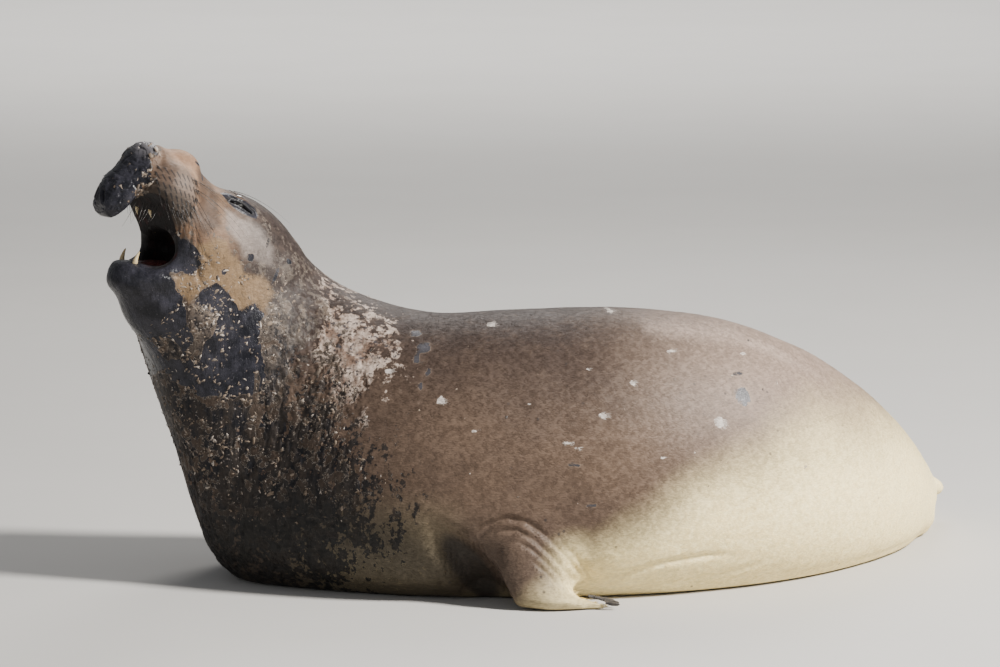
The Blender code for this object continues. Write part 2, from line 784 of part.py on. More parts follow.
def flippers(beside, floor, collection):
    """All four flippers and the nails of the front ones, flat where they rest on the ground."""
    made = {}
    for side, word in ((-1, "left"), (1, "right")):
        fore = foreflipper(f"foreflipper_{word}", side, collection)
        thinned(fore, FORE_FACES)
        boolean(fore, floor, "DIFFERENCE")
        fitted(fore, [beside])
        made[fore.name] = fore
        around = grown_copy(fore, NAIL_FIT, collection)
        made.update(nails(word, side, around, floor, collection))
        remove_all([around])
        hind = hind_flipper(f"hind_flipper_{word}", side, collection)
        thinned(hind, HIND_FACES)
        boolean(hind, floor, "DIFFERENCE")
        fitted(hind, [beside])
        made[hind.name] = hind
    return made


def eyes(collection):
    """Two round eyes in their sockets."""
    made = {}
    for side, word in ((1, "left"), (-1, "right")):
        at = (EYE_PLACE[0], side * EYE_PLACE[1], EYE_PLACE[2])
        eye = ball(f"eye_{word}", at, (EYE_RADIUS,) * 3, 0, collection)
        thinned(eye, EGG_FACES)
        made[eye.name] = eye
    return made


def finish(made):
    """Gives each part its origin, its material and its place, with the whole model centred on its box."""
    corners = np.array([obj.matrix_world @ v.co for obj in made.values() for v in obj.data.vertices])
    low, high = corners.min(axis=0), corners.max(axis=0)
    origin = Vector(((low[0] + high[0]) / 2, (low[1] + high[1]) / 2, low[2]))
    for name, obj in made.items():
        kind = next(key for key in COLOURS if name.startswith(key))
        colour, roughness = COLOURS[kind]
        obj.name = name
        obj.data.materials.clear()
        obj.data.materials.append(principled(name, colour, roughness))
        own = np.array([v.co for v in obj.data.vertices])
        centre = Vector((own.min(axis=0) + own.max(axis=0)) / 2)
        obj.data.transform(Matrix.Translation(-centre))
        obj.location = centre - origin
        obj.data.shade_smooth()
        obj.data.set_sharp_from_angle(angle=SHARP_ANGLE)


def build_model():
    """The whole seal in an empty scene."""
    for obj in list(bpy.data.objects):
        bpy.data.objects.remove(obj)
    seal = bpy.data.collections.new("elephant_seal")
    bpy.context.scene.collection.children.link(seal)
    body = whole_body(seal)
    floor = floor_box(seal)
    boolean(body, floor, "DIFFERENCE")
    body.data = islands(body)[0][2]
    grown = grown_copy(body, FIT, seal)
    made = mouth_parts(grown, seal)
    beside = grown_copy(body, FLIPPER_FIT, seal)
    made.update(flippers(beside, floor, seal))
    remove_all([grown, beside, floor])
    cut_details(body, seal)
    made.update(eyes(seal))
    made.update(part_body(body, seal))
    finish(made)


build_model()
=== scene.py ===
"""A life-size elephant seal: one skin over its solids, its eyes, mouth, whiskers and short coat."""

import math

import bmesh
import bpy
import numpy as np
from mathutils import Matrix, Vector


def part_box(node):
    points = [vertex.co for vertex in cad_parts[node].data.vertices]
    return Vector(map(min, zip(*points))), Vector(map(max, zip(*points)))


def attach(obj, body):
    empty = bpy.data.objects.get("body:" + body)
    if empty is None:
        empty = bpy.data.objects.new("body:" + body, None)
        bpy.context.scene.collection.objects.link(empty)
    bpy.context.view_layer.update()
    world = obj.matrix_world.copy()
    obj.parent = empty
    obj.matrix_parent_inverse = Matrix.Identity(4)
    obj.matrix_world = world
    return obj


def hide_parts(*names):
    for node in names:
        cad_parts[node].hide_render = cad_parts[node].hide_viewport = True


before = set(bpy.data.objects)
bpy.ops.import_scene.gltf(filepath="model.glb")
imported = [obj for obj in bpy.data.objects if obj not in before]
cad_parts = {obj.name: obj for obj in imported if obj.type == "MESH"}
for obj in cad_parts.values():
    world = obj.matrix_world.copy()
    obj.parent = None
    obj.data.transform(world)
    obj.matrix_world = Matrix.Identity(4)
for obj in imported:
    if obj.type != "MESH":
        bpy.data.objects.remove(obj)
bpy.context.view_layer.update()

# The skin replaces these solids, and lies this far inside them
FLESH = (
    "head", "proboscis", "lower_jaw", "neck", "chest", "abdomen", "rump", "tail",
    "foreflipper_left", "foreflipper_right", "hind_flipper_left", "hind_flipper_right",
)
COAT_DEPTH = 0.0032
JOIN = 0.0010
VOXEL = 0.0072
GROUND = 0.0005

# The camera: far off and level with the seal, as the photograph was taken
CAMERA_RISE = math.radians(8.0)
CAMERA_DISTANCE = 14.0
CAMERA_HEIGHT = 0.622
VIEW_WIDTH = 2.5
SENSOR = 36.0

# Where the left eye's centre is before the model is centred on its box
EYE_LEFT = Vector((-0.6501, -0.0702, 0.958))
HEAD_PITCH = math.radians(30.0)

# The plan curve of the spine: place along it, heading in degrees
PLAN = (
    (-0.5, -20.0), (-0.25, -10.0), (0.0, 0.0), (0.2, 9.0), (0.42, 24.0), (0.6, 35.0), (0.8, 43.0),
    (1.1, 53.0), (1.3, 57.0), (1.6, 57.0),
)
PLAN_STEP = 0.01
# How many points are placed along the spine at once
CHUNK = 40000

# Outlines of the markings on the head, in its own frame: x forward and z up, from between the eyes
NOSE_BARE = (
    (0.4, 0.12), (0.236, 0.07), (0.232, 0.03), (0.246, 0.008), (0.268, -0.024), (0.25, -0.034),
    (0.257, -0.05), (0.246, -0.066), (0.24, -0.096), (0.23, -0.13), (0.22, -0.19), (0.4, -0.26),
)
JAW_BARE = (
    (0.1, -0.15), (0.078, -0.158), (0.046, -0.168), (0.038, -0.19), (0.046, -0.214), (0.084, -0.238),
    (0.054, -0.268), (0.014, -0.284), (0.004, -0.23), (-0.021, -0.208), (-0.067, -0.224), (-0.104, -0.24),
    (-0.13, -0.205), (-0.16, -0.215), (-0.17, -0.28), (-0.215, -0.33), (-0.235, -0.4), (-0.13, -0.47),
    (-0.02, -0.45), (0.05, -0.46), (0.36, -0.36), (0.3, -0.15),
)
EYE_PATCH = (
    (0.05, 0.002), (0.03, 0.012), (0.018, 0.01), (-0.015, 0.013), (-0.048, 0.01), (-0.058, -0.003),
    (-0.055, -0.015), (-0.033, -0.018), (-0.008, -0.021), (0.018, -0.019), (0.034, -0.013),
)
GREY_CHEEK = (
    (0.036, -0.03), (-0.036, -0.028), (-0.075, -0.03), (-0.122, -0.058), (-0.132, -0.096),
    (-0.106, -0.108), (-0.054, -0.112), (-0.01, -0.092), (0.026, -0.07),
)
GOLD_CHEEK = (
    (0.066, -0.15), (0.043, -0.104), (0.008, -0.1), (-0.027, -0.124), (-0.067, -0.151), (-0.12, -0.134),
    (-0.165, -0.165), (-0.16, -0.215), (-0.13, -0.205), (-0.104, -0.24), (-0.067, -0.224),
    (-0.021, -0.208), (0.004, -0.23), (0.014, -0.284), (0.054, -0.268), (0.084, -0.238), (0.046, -0.214),
    (0.04, -0.19),
)
BROWN_BAND = (
    (0.122, 0.04), (0.075, 0.034), (0.052, -0.03), (0.036, -0.08), (0.066, -0.122), (0.112, -0.104),
    (0.112, -0.045), (0.128, -0.006),
)
# The whisker pad
PAD = (
    (0.25, -0.01), (0.214, 0.012), (0.163, 0.018), (0.13, -0.004), (0.113, -0.045), (0.115, -0.094),
    (0.14, -0.119), (0.168, -0.109), (0.213, -0.085), (0.25, -0.061),
)
# The old brown skin that is left between the nose and the pad
NOSE_EDGE = ((0.27, 0.045), (0.228, 0.05), (0.196, 0.02), (0.196, -0.04), (0.226, -0.07), (0.27, -0.07))
# The lower rim of the whisker pad, darkened with painted shade
PAD_RIM = (
    (0.236, -0.06), (0.214, -0.066), (0.18, -0.084), (0.15, -0.094), (0.126, -0.104), (0.13, -0.124),
    (0.16, -0.13), (0.2, -0.108), (0.24, -0.084),
)
# The lower part of the pad and the upper lip, darkened with painted shade over their dark bristles
PAD_LOW = (
    (0.25, -0.057), (0.203, -0.05), (0.155, -0.053), (0.112, -0.072), (0.104, -0.098), (0.126, -0.128),
    (0.2, -0.14), (0.248, -0.095),
)
# Small bare spots on the head: place, radii
HEAD_SPOTS = (
    ((-0.022, -0.175), (0.006, 0.007)), ((-0.072, -0.108), (0.011, 0.012)),
    ((-0.155, -0.118), (0.006, 0.022)), ((-0.102, -0.055), (0.004, 0.014)),
    ((-0.181, -0.068), (0.009, 0.008)), ((0.118, 0.044), (0.014, 0.004)), ((0.1, 0.022), (0.004, 0.012)),
)

# Outlines of the markings on the body: place along the spine, height
SCARRED = (
    (-0.535, 0.8), (-0.44, 0.765), (-0.34, 0.68), (-0.255, 0.64), (-0.245, 0.545), (-0.29, 0.44),
    (-0.36, 0.44), (-0.42, 0.53), (-0.48, 0.62), (-0.545, 0.7),
)
PEELING = (
    (-0.66, 0.86), (-0.575, 0.8), (-0.505, 0.74), (-0.44, 0.66), (-0.39, 0.56), (-0.345, 0.46),
    (-0.29, 0.38), (-0.24, 0.29), (-0.26, 0.16), (-0.3, 0.02), (-1.0, -0.05), (-1.1, 0.7), (-0.8, 0.92),
)
# Painted shade on the lower chest, whose skin is dark too: place along the spine, height, radii
CHEST_SHADE = ((-0.38, 0.05), (0.58, 0.30))
# A painted highlight in a stripe along the back of the side seen: place along the spine, height
STRIPE = ((0.30, 0.661), (0.335, 0.650), (0.521, 0.620), (0.638, 0.561), (0.738, 0.490))
CREAM_EDGE = (
    (-0.6, -0.1), (-0.2, -0.04), (0.02, 0.0), (0.1, 0.07), (0.167, 0.13), (0.217, 0.18), (0.263, 0.208),
    (0.325, 0.242), (0.393, 0.278), (0.465, 0.312), (0.544, 0.34), (0.64, 0.364), (0.766, 0.372),
    (0.97, 0.352), (1.2, 0.3), (1.35, 0.26), (1.5, 0.3),
)
# Bare bluish patches and pale scars on the trunk: place, height, radii
BLUE_PATCHES = (
    (-0.167, 0.612, 0.015, 0.012), (-0.192, 0.64, 0.014, 0.007), (-0.178, 0.59, 0.006, 0.014),
    (0.473, 0.489, 0.017, 0.023), (-0.15, 0.56, 0.005, 0.01), (-0.163, 0.53, 0.005, 0.008),
    (0.48, 0.54, 0.012, 0.004), (0.14, 0.35, 0.016, 0.004), (0.17, 0.25, 0.01, 0.004),
)
PALE_PATCHES = (
    (0.412, 0.435, 0.009, 0.013), (0.126, 0.402, 0.01, 0.004), (0.15, 0.392, 0.014, 0.003),
    (0.26, 0.537, 0.005, 0.005), (0.198, 0.465, 0.006, 0.006), (-0.235, 0.56, 0.01, 0.006),
    (-0.12, 0.5, 0.008, 0.011), (0.35, 0.6, 0.01, 0.003), (0.18, 0.57, 0.004, 0.004),
    (0.058, 0.494, 0.004, 0.004), (0.266, 0.681, 0.006, 0.004), (0.3, 0.36, 0.007, 0.003),
    (0.52, 0.58, 0.007, 0.003), (-0.05, 0.43, 0.006, 0.004), (-0.02, 0.66, 0.01, 0.004),
)

# Folds of the skin on the head: points (x, z), width, depth, least distance from the middle
HEAD_FOLDS = (
    (
        ((0.176, 0.03), (0.15, 0.006), (0.128, -0.02), (0.116, -0.06), (0.12, -0.095), (0.14, -0.118)),
        0.007, 0.004, 0.05,
    ),
    (((0.244, 0.07), (0.226, 0.03), (0.234, -0.004), (0.252, -0.03)), 0.008, 0.005, 0.0),
    (((0.128, -0.118), (0.116, -0.14), (0.104, -0.166)), 0.0045, 0.003, 0.07),
    (((0.14, -0.12), (0.13, -0.138), (0.12, -0.156)), 0.004, 0.0026, 0.07),
    (((0.106, -0.112), (0.094, -0.14), (0.084, -0.168)), 0.0045, 0.0026, 0.08),
    (((0.09, -0.112), (0.074, -0.146), (0.066, -0.176)), 0.005, 0.0022, 0.09),
    (((0.098, 0.052), (0.086, 0.03), (0.08, 0.0), (0.082, -0.03)), 0.01, 0.0035, 0.0),
    (((0.282, 0.02), (0.276, -0.012), (0.284, -0.04)), 0.006, 0.0022, 0.0),
    (((0.3, 0.0), (0.292, -0.034), (0.298, -0.066), (0.29, -0.09)), 0.006, 0.0024, 0.0),
    (((0.268, -0.098), (0.284, -0.118), (0.29, -0.15)), 0.006, 0.0022, 0.02),
    (((0.06, -0.178), (0.04, -0.196), (0.02, -0.226)), 0.006, 0.003, 0.08),
    (((0.052, -0.16), (0.028, -0.168), (0.006, -0.184)), 0.006, 0.0022, 0.08),
    (((0.15, -0.262), (0.12, -0.25), (0.09, -0.246), (0.06, -0.226)), 0.006, 0.0024, 0.04),
    (((0.18, -0.29), (0.13, -0.3), (0.07, -0.296)), 0.012, 0.0025, 0.03),
    (((0.06, 0.012), (0.03, 0.022), (-0.01, 0.026), (-0.05, 0.02)), 0.005, 0.0016, 0.05),
    (((0.044, -0.026), (0.01, -0.034), (-0.03, -0.032), (-0.062, -0.02)), 0.005, 0.0016, 0.05),
)
# Folds on the body: points (place along the spine, height), width, depth; the first are on both sides
PAIRED_FOLDS = 7
BODY_FOLDS = (
    (
        (
            (-0.05, 0.176), (-0.022, 0.206), (0.012, 0.224), (0.05, 0.214), (0.09, 0.178), (0.122, 0.13),
            (0.152, 0.078), (0.168, 0.04),
        ),
        0.0065, 0.006,
    ),
    (
        ((-0.01, 0.19), (0.03, 0.196), (0.066, 0.172), (0.1, 0.128), (0.132, 0.08), (0.156, 0.04)),
        0.006, 0.0052,
    ),
    (((0.03, 0.172), (0.06, 0.15), (0.09, 0.112), (0.122, 0.07), (0.146, 0.036)), 0.0055, 0.0045),
    (((0.06, 0.124), (0.088, 0.092), (0.112, 0.06), (0.134, 0.03)), 0.005, 0.0036),
    (((0.11, 0.17), (0.14, 0.126), (0.164, 0.084), (0.18, 0.048)), 0.0055, 0.0036),
    (
        ((0.158, 0.036), (0.2, 0.052), (0.25, 0.068), (0.308, 0.094), (0.384, 0.104), (0.43, 0.1)),
        0.008, 0.007,
    ),
    (((0.24, 0.008), (0.3, 0.02), (0.414, 0.04), (0.5, 0.062)), 0.008, 0.005),
    (((-0.004, 0.38), (0.06, 0.382), (0.128, 0.389)), 0.003, 0.001),
    (((0.115, 0.29), (0.144, 0.276), (0.175, 0.272)), 0.003, 0.0012),
    (((0.06, 0.43), (0.2, 0.42), (0.3, 0.418)), 0.004, 0.0008),
)
# The hollow in front of the arm: place, height, radii, depth, and how far it leans forward per height
HOLLOW = ((-0.060, 0.080), (0.066, 0.155), 0.040)
HOLLOW_LEAN = 0.45

EYE_SLIT = ((0.031, -0.0050), (0.014, -0.0015), (-0.010, -0.0015), (-0.038, -0.0045))
SLIT_HALF = 0.0026
LID_DEPTH = 0.0120
EYE_MIDDLE = (0.0, 0.0905, -0.001)
EYE_RADIUS = 0.0215


def middle(node):
    """The middle of a solid's box."""
    low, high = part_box(node)
    return (low + high) / 2


SHIFT = middle("eye_left") - EYE_LEFT


def head_axes():
    """The head's own frame from its two eyes: x forward, y to the seal's left, z up."""
    left_eye, right_eye = middle("eye_left"), middle("eye_right")
    left = (left_eye - right_eye).normalized()
    level = left.cross(Vector((0.0, 0.0, 1.0))).normalized()
    if level.x > 0:
        level = -level
    forward = level * math.cos(HEAD_PITCH) + Vector((0.0, 0.0, math.sin(HEAD_PITCH)))
    axes = np.array([forward, left, forward.cross(left)])
    return axes, np.array((left_eye + right_eye) / 2)


HEAD_AXES, HEAD_ORIGIN = head_axes()


def to_head(points):
    """World places in the head's frame."""
    return (np.asarray(points) - HEAD_ORIGIN) @ HEAD_AXES.T


def from_head(points):
    """Places of the head's frame in the world."""
    return np.asarray(points) @ HEAD_AXES + HEAD_ORIGIN


def smooth_step(low, high, value):
    """0 at low and 1 at high, with a soft step between; low may be the larger."""
    t = np.clip((value - low) / (high - low), 0.0, 1.0)
    return t * t * (3 - 2 * t)


def spine_curve():
    """The spine on the ground: places along it, points and headings."""
    places = np.arange(PLAN[0][0], PLAN[-1][0] + PLAN_STEP / 2, PLAN_STEP)
    keys, degrees = zip(*PLAN)
    heading = np.radians(np.interp(places, keys, degrees))
    points = np.zeros((len(places), 2))
    run = np.stack([np.cos(heading), np.sin(heading)], axis=1)
    points[1:] = np.cumsum((run[1:] + run[:-1]) / 2 * PLAN_STEP, axis=0)
    points -= points[np.argmin(np.abs(places))]
    return places, points + np.array(SHIFT[:2]), heading


SPINE_PLACES, SPINE_POINTS, SPINE_HEADING = spine_curve()


def along_body(points):
    """Place along the spine, distance to the seal's right of it, height and heading, for each point."""
    points = np.asarray(points)
    rows = []
    for start in range(0, len(points), CHUNK):
        chunk = points[start:start + CHUNK]
        nearest = ((chunk[:, None, :2] - SPINE_POINTS[None]) ** 2).sum(axis=2).argmin(axis=1)
        heading = SPINE_HEADING[nearest]
        delta = chunk[:, :2] - SPINE_POINTS[nearest]
        ahead = delta[:, 0] * np.cos(heading) + delta[:, 1] * np.sin(heading)
        side = -delta[:, 0] * np.sin(heading) + delta[:, 1] * np.cos(heading)
        rows.append(np.stack([SPINE_PLACES[nearest] + ahead, side, chunk[:, 2], heading], axis=1))
    return np.concatenate(rows)


def lattice(ix, iy, iz, seed):
    """A settled random number from 0 to 1 for each point of a grid."""
    value = (ix * 374761393 + iy * 668265263 + iz * 1440662683 + seed * 974634777) & 0xFFFFFFFF
    value = ((value ^ (value >> 13)) * 1274126177) & 0xFFFFFFFF
    return ((value ^ (value >> 16)) & 0xFFFF) / 65535.0


def grain(points, size, seed):
    """Smooth noise from 0 to 1 whose lumps are about this size."""
    scaled = points / size
    base = np.floor(scaled).astype(np.int64)
    part = scaled - base
    part = part * part * (3 - 2 * part)
    total = np.zeros(len(points))
    for corner in range(8):
        step = np.array([corner & 1, corner >> 1 & 1, corner >> 2])
        share = np.prod(np.where(step == 1, part, 1 - part), axis=1)
        total += share * lattice(*(base + step).T, seed)
    return total


def rough_grain(points, size, seed):
    """Noise of three sizes added up, from 0 to 1."""
    total, weight, whole = 0.0, 1.0, 0.0
    for octave in range(3):
        total = total + weight * grain(points, size / 2**octave, seed + octave)
        whole += weight
        weight *= 0.55
    return total / whole


def to_segment(points, start, end):
    """Distance of flat points to a segment, and how far along it they are nearest."""
    start, end = np.asarray(start), np.asarray(end)
    run = end - start
    t = np.clip(((points - start) @ run) / (run @ run), 0.0, 1.0)
    return np.linalg.norm(points - start - t[:, None] * run, axis=1), t


def to_line(points, line):
    """Distance of flat points to a row of segments, and the share of the row at the nearest place."""
    best = np.full(len(points), 9.0)
    share = np.zeros(len(points))
    for i, (start, end) in enumerate(zip(line, line[1:])):
        away, t = to_segment(points, start, end)
        nearer = away < best
        best[nearer] = away[nearer]
        share[nearer] = (i + t[nearer]) / (len(line) - 1)
    return best, share


def inside_by(points, outline):
    """How far flat points are inside an outline; less than 0 outside it."""
    line = list(outline) + [outline[0]]
    away, _ = to_line(points, line)
    inside = np.zeros(len(points), bool)
    for (x0, z0), (x1, z1) in zip(line, line[1:]):
        spans = (points[:, 1] < z0) != (points[:, 1] < z1)
        if z1 != z0:
            inside ^= spans & (points[:, 0] < (x1 - x0) * (points[:, 1] - z0) / (z1 - z0) + x0)
    return np.where(inside, away, -away)


def spot(points, place, radii):
    """1 in the middle of a flat oval spot, 0 at its rim, less outside."""
    away = (points - np.asarray(place)) / np.asarray(radii)
    return 1.0 - np.linalg.norm(away, axis=1)


def mesh_object(name, points, faces):
    """A new mesh object at the origin."""
    mesh = bpy.data.meshes.new(name)
    mesh.from_pydata([tuple(p) for p in points], [], [tuple(f) for f in faces])
    mesh.update()
    obj = bpy.data.objects.new(name, mesh)
    bpy.context.scene.collection.objects.link(obj)
    return obj


def fast_mesh(name, points, faces):
    """A new mesh object from arrays, all of whose faces have the same number of corners."""
    mesh = bpy.data.meshes.new(name)
    corners = faces.shape[1]
    mesh.vertices.add(len(points))
    mesh.vertices.foreach_set("co", np.ascontiguousarray(points, np.float32).ravel())
    mesh.loops.add(faces.size)
    mesh.loops.foreach_set("vertex_index", faces.astype(np.int32).ravel())
    mesh.polygons.add(len(faces))
    mesh.polygons.foreach_set("loop_start", np.arange(0, faces.size, corners, dtype=np.int32))
    mesh.update(calc_edges=True)
    mesh.shade_smooth()
    obj = bpy.data.objects.new(name, mesh)
    bpy.context.scene.collection.objects.link(obj)
    return obj


def coordinates(mesh):
    """All vertex places of a mesh."""
    values = np.empty(len(mesh.vertices) * 3, np.float32)
    mesh.vertices.foreach_get("co", values)
    return values.reshape(-1, 3).astype(float)


def set_coordinates(mesh, points):
    """Moves all vertices of a mesh."""
    mesh.vertices.foreach_set("co", np.ascontiguousarray(points, np.float32).ravel())
    mesh.update()


def normals(mesh):
    """All vertex normals of a mesh."""
    values = np.empty(len(mesh.vertices) * 3, np.float32)
    mesh.vertex_normals.foreach_get("vector", values)
    return values.reshape(-1, 3).astype(float)


def apply_modifiers(obj):
    """Makes the object's modifiers part of its mesh."""
    graph = bpy.context.evaluated_depsgraph_get()
    mesh = bpy.data.meshes.new_from_object(obj.evaluated_get(graph))
    obj.modifiers.clear()
    obj.data = mesh


def store(mesh, name, rows):
    """Keeps up to three values of each vertex under one name."""
    data = np.zeros((len(mesh.vertices), 4), np.float32)
    data[:, :rows.shape[1]] = rows
    data[:, 3] = 1.0
    attribute = mesh.attributes.new(name, "FLOAT_COLOR", "POINT")
    attribute.data.foreach_set("color", data.ravel())


# The skin's form


def joined_flesh():
    """One closed mesh of the flesh solids, each a little swollen so that the thin cuts between them close."""
    points, faces, count = [], [], 0
    for name in FLESH + ("eye_left", "eye_right"):
        bm = bmesh.new()
        bm.from_mesh(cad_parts[name].data)
        bmesh.ops.remove_doubles(bm, verts=bm.verts, dist=1e-5)
        bm.normal_update()
        bm.verts.index_update()
        points += [tuple(v.co + v.normal * JOIN) for v in bm.verts]
        faces += [[v.index + count for v in face.verts] for face in bm.faces]
        count = len(points)
        bm.free()
    return mesh_object("skin", points, faces)


def edges_of(mesh):
    """The two ends of every edge."""
    ends = np.empty(len(mesh.edges) * 2, np.int32)
    mesh.edges.foreach_get("vertices", ends)
    return ends.reshape(-1, 2)


def smoothed(points, ends, weight, rounds):
    """Each point drawn towards the mean of its neighbours, by its own weight, round after round."""
    count = len(points)
    degree = np.maximum(np.bincount(ends.ravel(), minlength=count), 1)[:, None]
    weight = np.asarray(weight)[:, None] * np.ones((count, 1))
    for _ in range(rounds):
        mean = np.empty_like(points)
        for axis in range(3):
            value = points[:, axis]
            mean[:, axis] = np.bincount(ends[:, 0], value[ends[:, 1]], count)
            mean[:, axis] += np.bincount(ends[:, 1], value[ends[:, 0]], count)
        points = points + (mean / degree - points) * weight
    return points


def refined(obj, chosen):
    """Splits the edges between chosen vertices, once."""
    bm = bmesh.new()
    bm.from_mesh(obj.data)
    edges = [e for e in bm.edges if chosen[e.verts[0].index] and chosen[e.verts[1].index]]
    bmesh.ops.subdivide_edges(bm, edges=edges, cuts=1, use_grid_fill=True)
    bm.to_mesh(obj.data)
    bm.free()
    obj.data.update()


def limb_share(place):
    """1 on the flippers, 0 on the trunk."""
    fore = smooth_step(0.385, 0.430, np.abs(place[:, 1])) * smooth_step(0.30, 0.20, place[:, 2])
    hind = smooth_step(1.30, 1.40, place[:, 0])
    return np.clip(fore + hind, 0.0, 1.0)


def even_skin():
    """The bare form: even, with the solids' facets smoothed away, finer on the head."""
    obj = joined_flesh()
    remesh = obj.modifiers.new("even", "REMESH")
    remesh.mode = "VOXEL"
    remesh.voxel_size = VOXEL
    apply_modifiers(obj)
    points, ends = coordinates(obj.data), edges_of(obj.data)
    head, place = to_head(points), along_body(points)
    on_head = smooth_step(-0.34, -0.22, head[:, 0])
    throat = smooth_step(0.17, 0.10, head[:, 0]) * smooth_step(-0.30, -0.36, head[:, 2])
    held = np.clip(on_head * (1.0 - 0.8 * throat) * 0.95 + limb_share(place) * 0.93, 0.0, 0.96)
    points = smoothed(points, ends, 0.5 * (1.0 - held), 100)
    set_coordinates(obj.data, smoothed(points, ends, 0.5 * held, 2))
    points = coordinates(obj.data)
    refined(obj, front_region(to_head(points), along_body(points)))
    refined(obj, face_region(to_head(coordinates(obj.data))))
    points, ends = coordinates(obj.data), edges_of(obj.data)
    fine = smooth_step(-0.30, -0.20, to_head(points)[:, 0])
    set_coordinates(obj.data, smoothed(points, ends, 0.25 + 0.25 * fine, 3))
    return obj


def front_region(head, place):
    """Where the mesh is finer: the head, the folds of the arm, and what peels on the side seen."""
    arm = (np.abs(place[:, 0] - 0.08) < 0.20) & (place[:, 2] < 0.26) & (place[:, 1] < -0.2)
    flat = place[:, [0, 2]]
    peel = (inside_by(flat, SCARRED) > -0.03) | (inside_by(flat, PEELING) > -0.03)
    return (head[:, 0] > -0.26) | arm | (peel & (place[:, 1] < 0.05))


def face_region(head):
    """Where the mesh is finest: round the eyes, on the pads and round the mouth."""
    eyes = inside_by(head[:, [0, 2]], EYE_PATCH) > -0.012
    eyes = eyes & (head[:, 2] > -0.05) & (np.abs(head[:, 1]) > 0.03)
    return eyes | (head[:, 0] > 0.02) & (head[:, 2] > -0.30)


def fold_depth(flat, line, width, depth, seed):
    """A fold's depth at flat points: deepest on its line, with soft swells beside it and thinning ends."""
    away, share = to_line(flat, line)
    ends = smooth_step(0.0, 0.16, share) * smooth_step(1.0, 0.84, share)
    wobble = 0.75 + 0.5 * grain(np.c_[flat, np.zeros(len(flat))], 0.02, seed)
    return depth * wobble * np.exp(-((away / width) ** 2)) * (0.25 + 0.75 * ends)


GAPE = (
    (0.07, -0.195), (0.086, -0.15), (0.13, -0.104), (0.165, -0.07), (0.204, -0.044), (0.244, -0.046),
    (0.262, -0.09), (0.262, -0.196), (0.2, -0.25), (0.124, -0.24), (0.084, -0.222),
)


def in_mouth(head, out):
    """1 on the lining of the mouth, 0 outside: in the gape, and facing inwards, down or up."""
    facing = out @ HEAD_AXES.T
    sideways = facing[:, 1] * np.sign(head[:, 1])
    inward = smooth_step(0.45, 0.15, sideways) * smooth_step(0.128, 0.118, np.abs(head[:, 1]))
    under = smooth_step(0.60, 0.30, np.where(head[:, 2] > -0.15, facing[:, 2], 0.0))
    deep = smooth_step(-0.010, 0.004, inside_by(head[:, [0, 2]], GAPE))
    hollow = 1.0 - np.linalg.norm((head - (0.075, 0.0, -0.188)) / (0.165, 0.090, 0.066), axis=1)
    throat = smooth_step(-0.02, 0.10, hollow)
    return np.clip(np.maximum(deep * inward * under, throat), 0, 1)


def lid_push(head):
    """How far the skin is pushed in between the lids, and the swell of the lids round the slit."""
    flat = head[:, [0, 2]]
    away, share = to_line(flat, EYE_SLIT)
    half = SLIT_HALF * np.sqrt(np.clip(4 * share * (1 - share), 0.0, 1.0)) + 0.0004
    outer = (np.abs(head[:, 1]) > 0.06) & (np.abs(head[:, 2]) < 0.06)
    push = LID_DEPTH * smooth_step(half + 0.0014, half - 0.0006, away)
    rim = 0.0013 * np.exp(-(((away - half - 0.0042) / 0.0030) ** 2))
    return np.where(outer, push - rim, 0.0)


# A nostril: its slit seen from the front (distance from the middle, height), its width and depth
NOSTRIL = ((0.012, -0.126), (0.018, -0.140), (0.026, -0.156))
NOSTRIL_WIDTH = 0.0036
NOSTRIL_DEPTH = 0.0080


def nostril_push(head):
    """How far the front of the nose is pushed in at the nostrils, with a swollen rim."""
    front = np.stack([np.abs(head[:, 1]), head[:, 2]], axis=1)
    away, share = to_line(front, NOSTRIL)
    ends = 0.35 + 0.65 * np.sqrt(np.clip(4 * share * (1 - share), 0.0, 1.0))
    hole = NOSTRIL_DEPTH * np.exp(-((away / (NOSTRIL_WIDTH * ends)) ** 2))
    rim = 0.0014 * np.exp(-(((away - 0.010) / 0.004) ** 2))
    return (hole - rim) * smooth_step(0.262, 0.285, head[:, 0])


def head_relief(head):
    """How far each point of the head is pushed in: folds, lids, pads, peeled edges and small lumps."""
    flat, side = head[:, [0, 2]], np.abs(head[:, 1])
    depth = lid_push(head) + nostril_push(head)
    for number, (line, width, deep, least) in enumerate(HEAD_FOLDS):
        apart = smooth_step(least - 0.02, least + 0.01, side) if least else 1.0
        depth += fold_depth(flat, line, width, deep, 40 + number) * apart
    patch = inside_by(flat, EYE_PATCH) + 0.004 * (rough_grain(head, 0.006, 3) - 0.5)
    depth += 0.0012 * smooth_step(-0.0005, 0.0010, patch) * (np.abs(head[:, 2]) < 0.05)
    nose = inside_by(flat, NOSE_BARE) + 0.012 * (rough_grain(head, 0.010, 5) - 0.5)
    depth += 0.0014 * smooth_step(-0.0006, 0.0010, nose)
    wrinkled = smooth_step(0.20, 0.27, head[:, 0])
    ridges = np.abs(rough_grain(head * (1.0, 0.5, 0.8), 0.022, 9) - 0.5) * 2
    depth += 0.0020 * wrinkled * smooth_step(0.22, 0.0, ridges)
    depth += 0.0012 * rough_grain(head, 0.030, 12)
    for turn in (1.0, -1.0):
        near = near_pad(head, turn)
        for root in follicles(turn):
            swell = np.linalg.norm(head[near] - root - (0.003, 0.0, 0.003), axis=1)
            dent = np.linalg.norm(head[near] - root + (0.004, 0.0, 0.004), axis=1)
            pit, rise = np.exp(-((dent / 0.0036) ** 2)), np.exp(-((swell / 0.0044) ** 2))
            depth[near] += 0.0014 * pit - 0.0018 * rise
    return depth


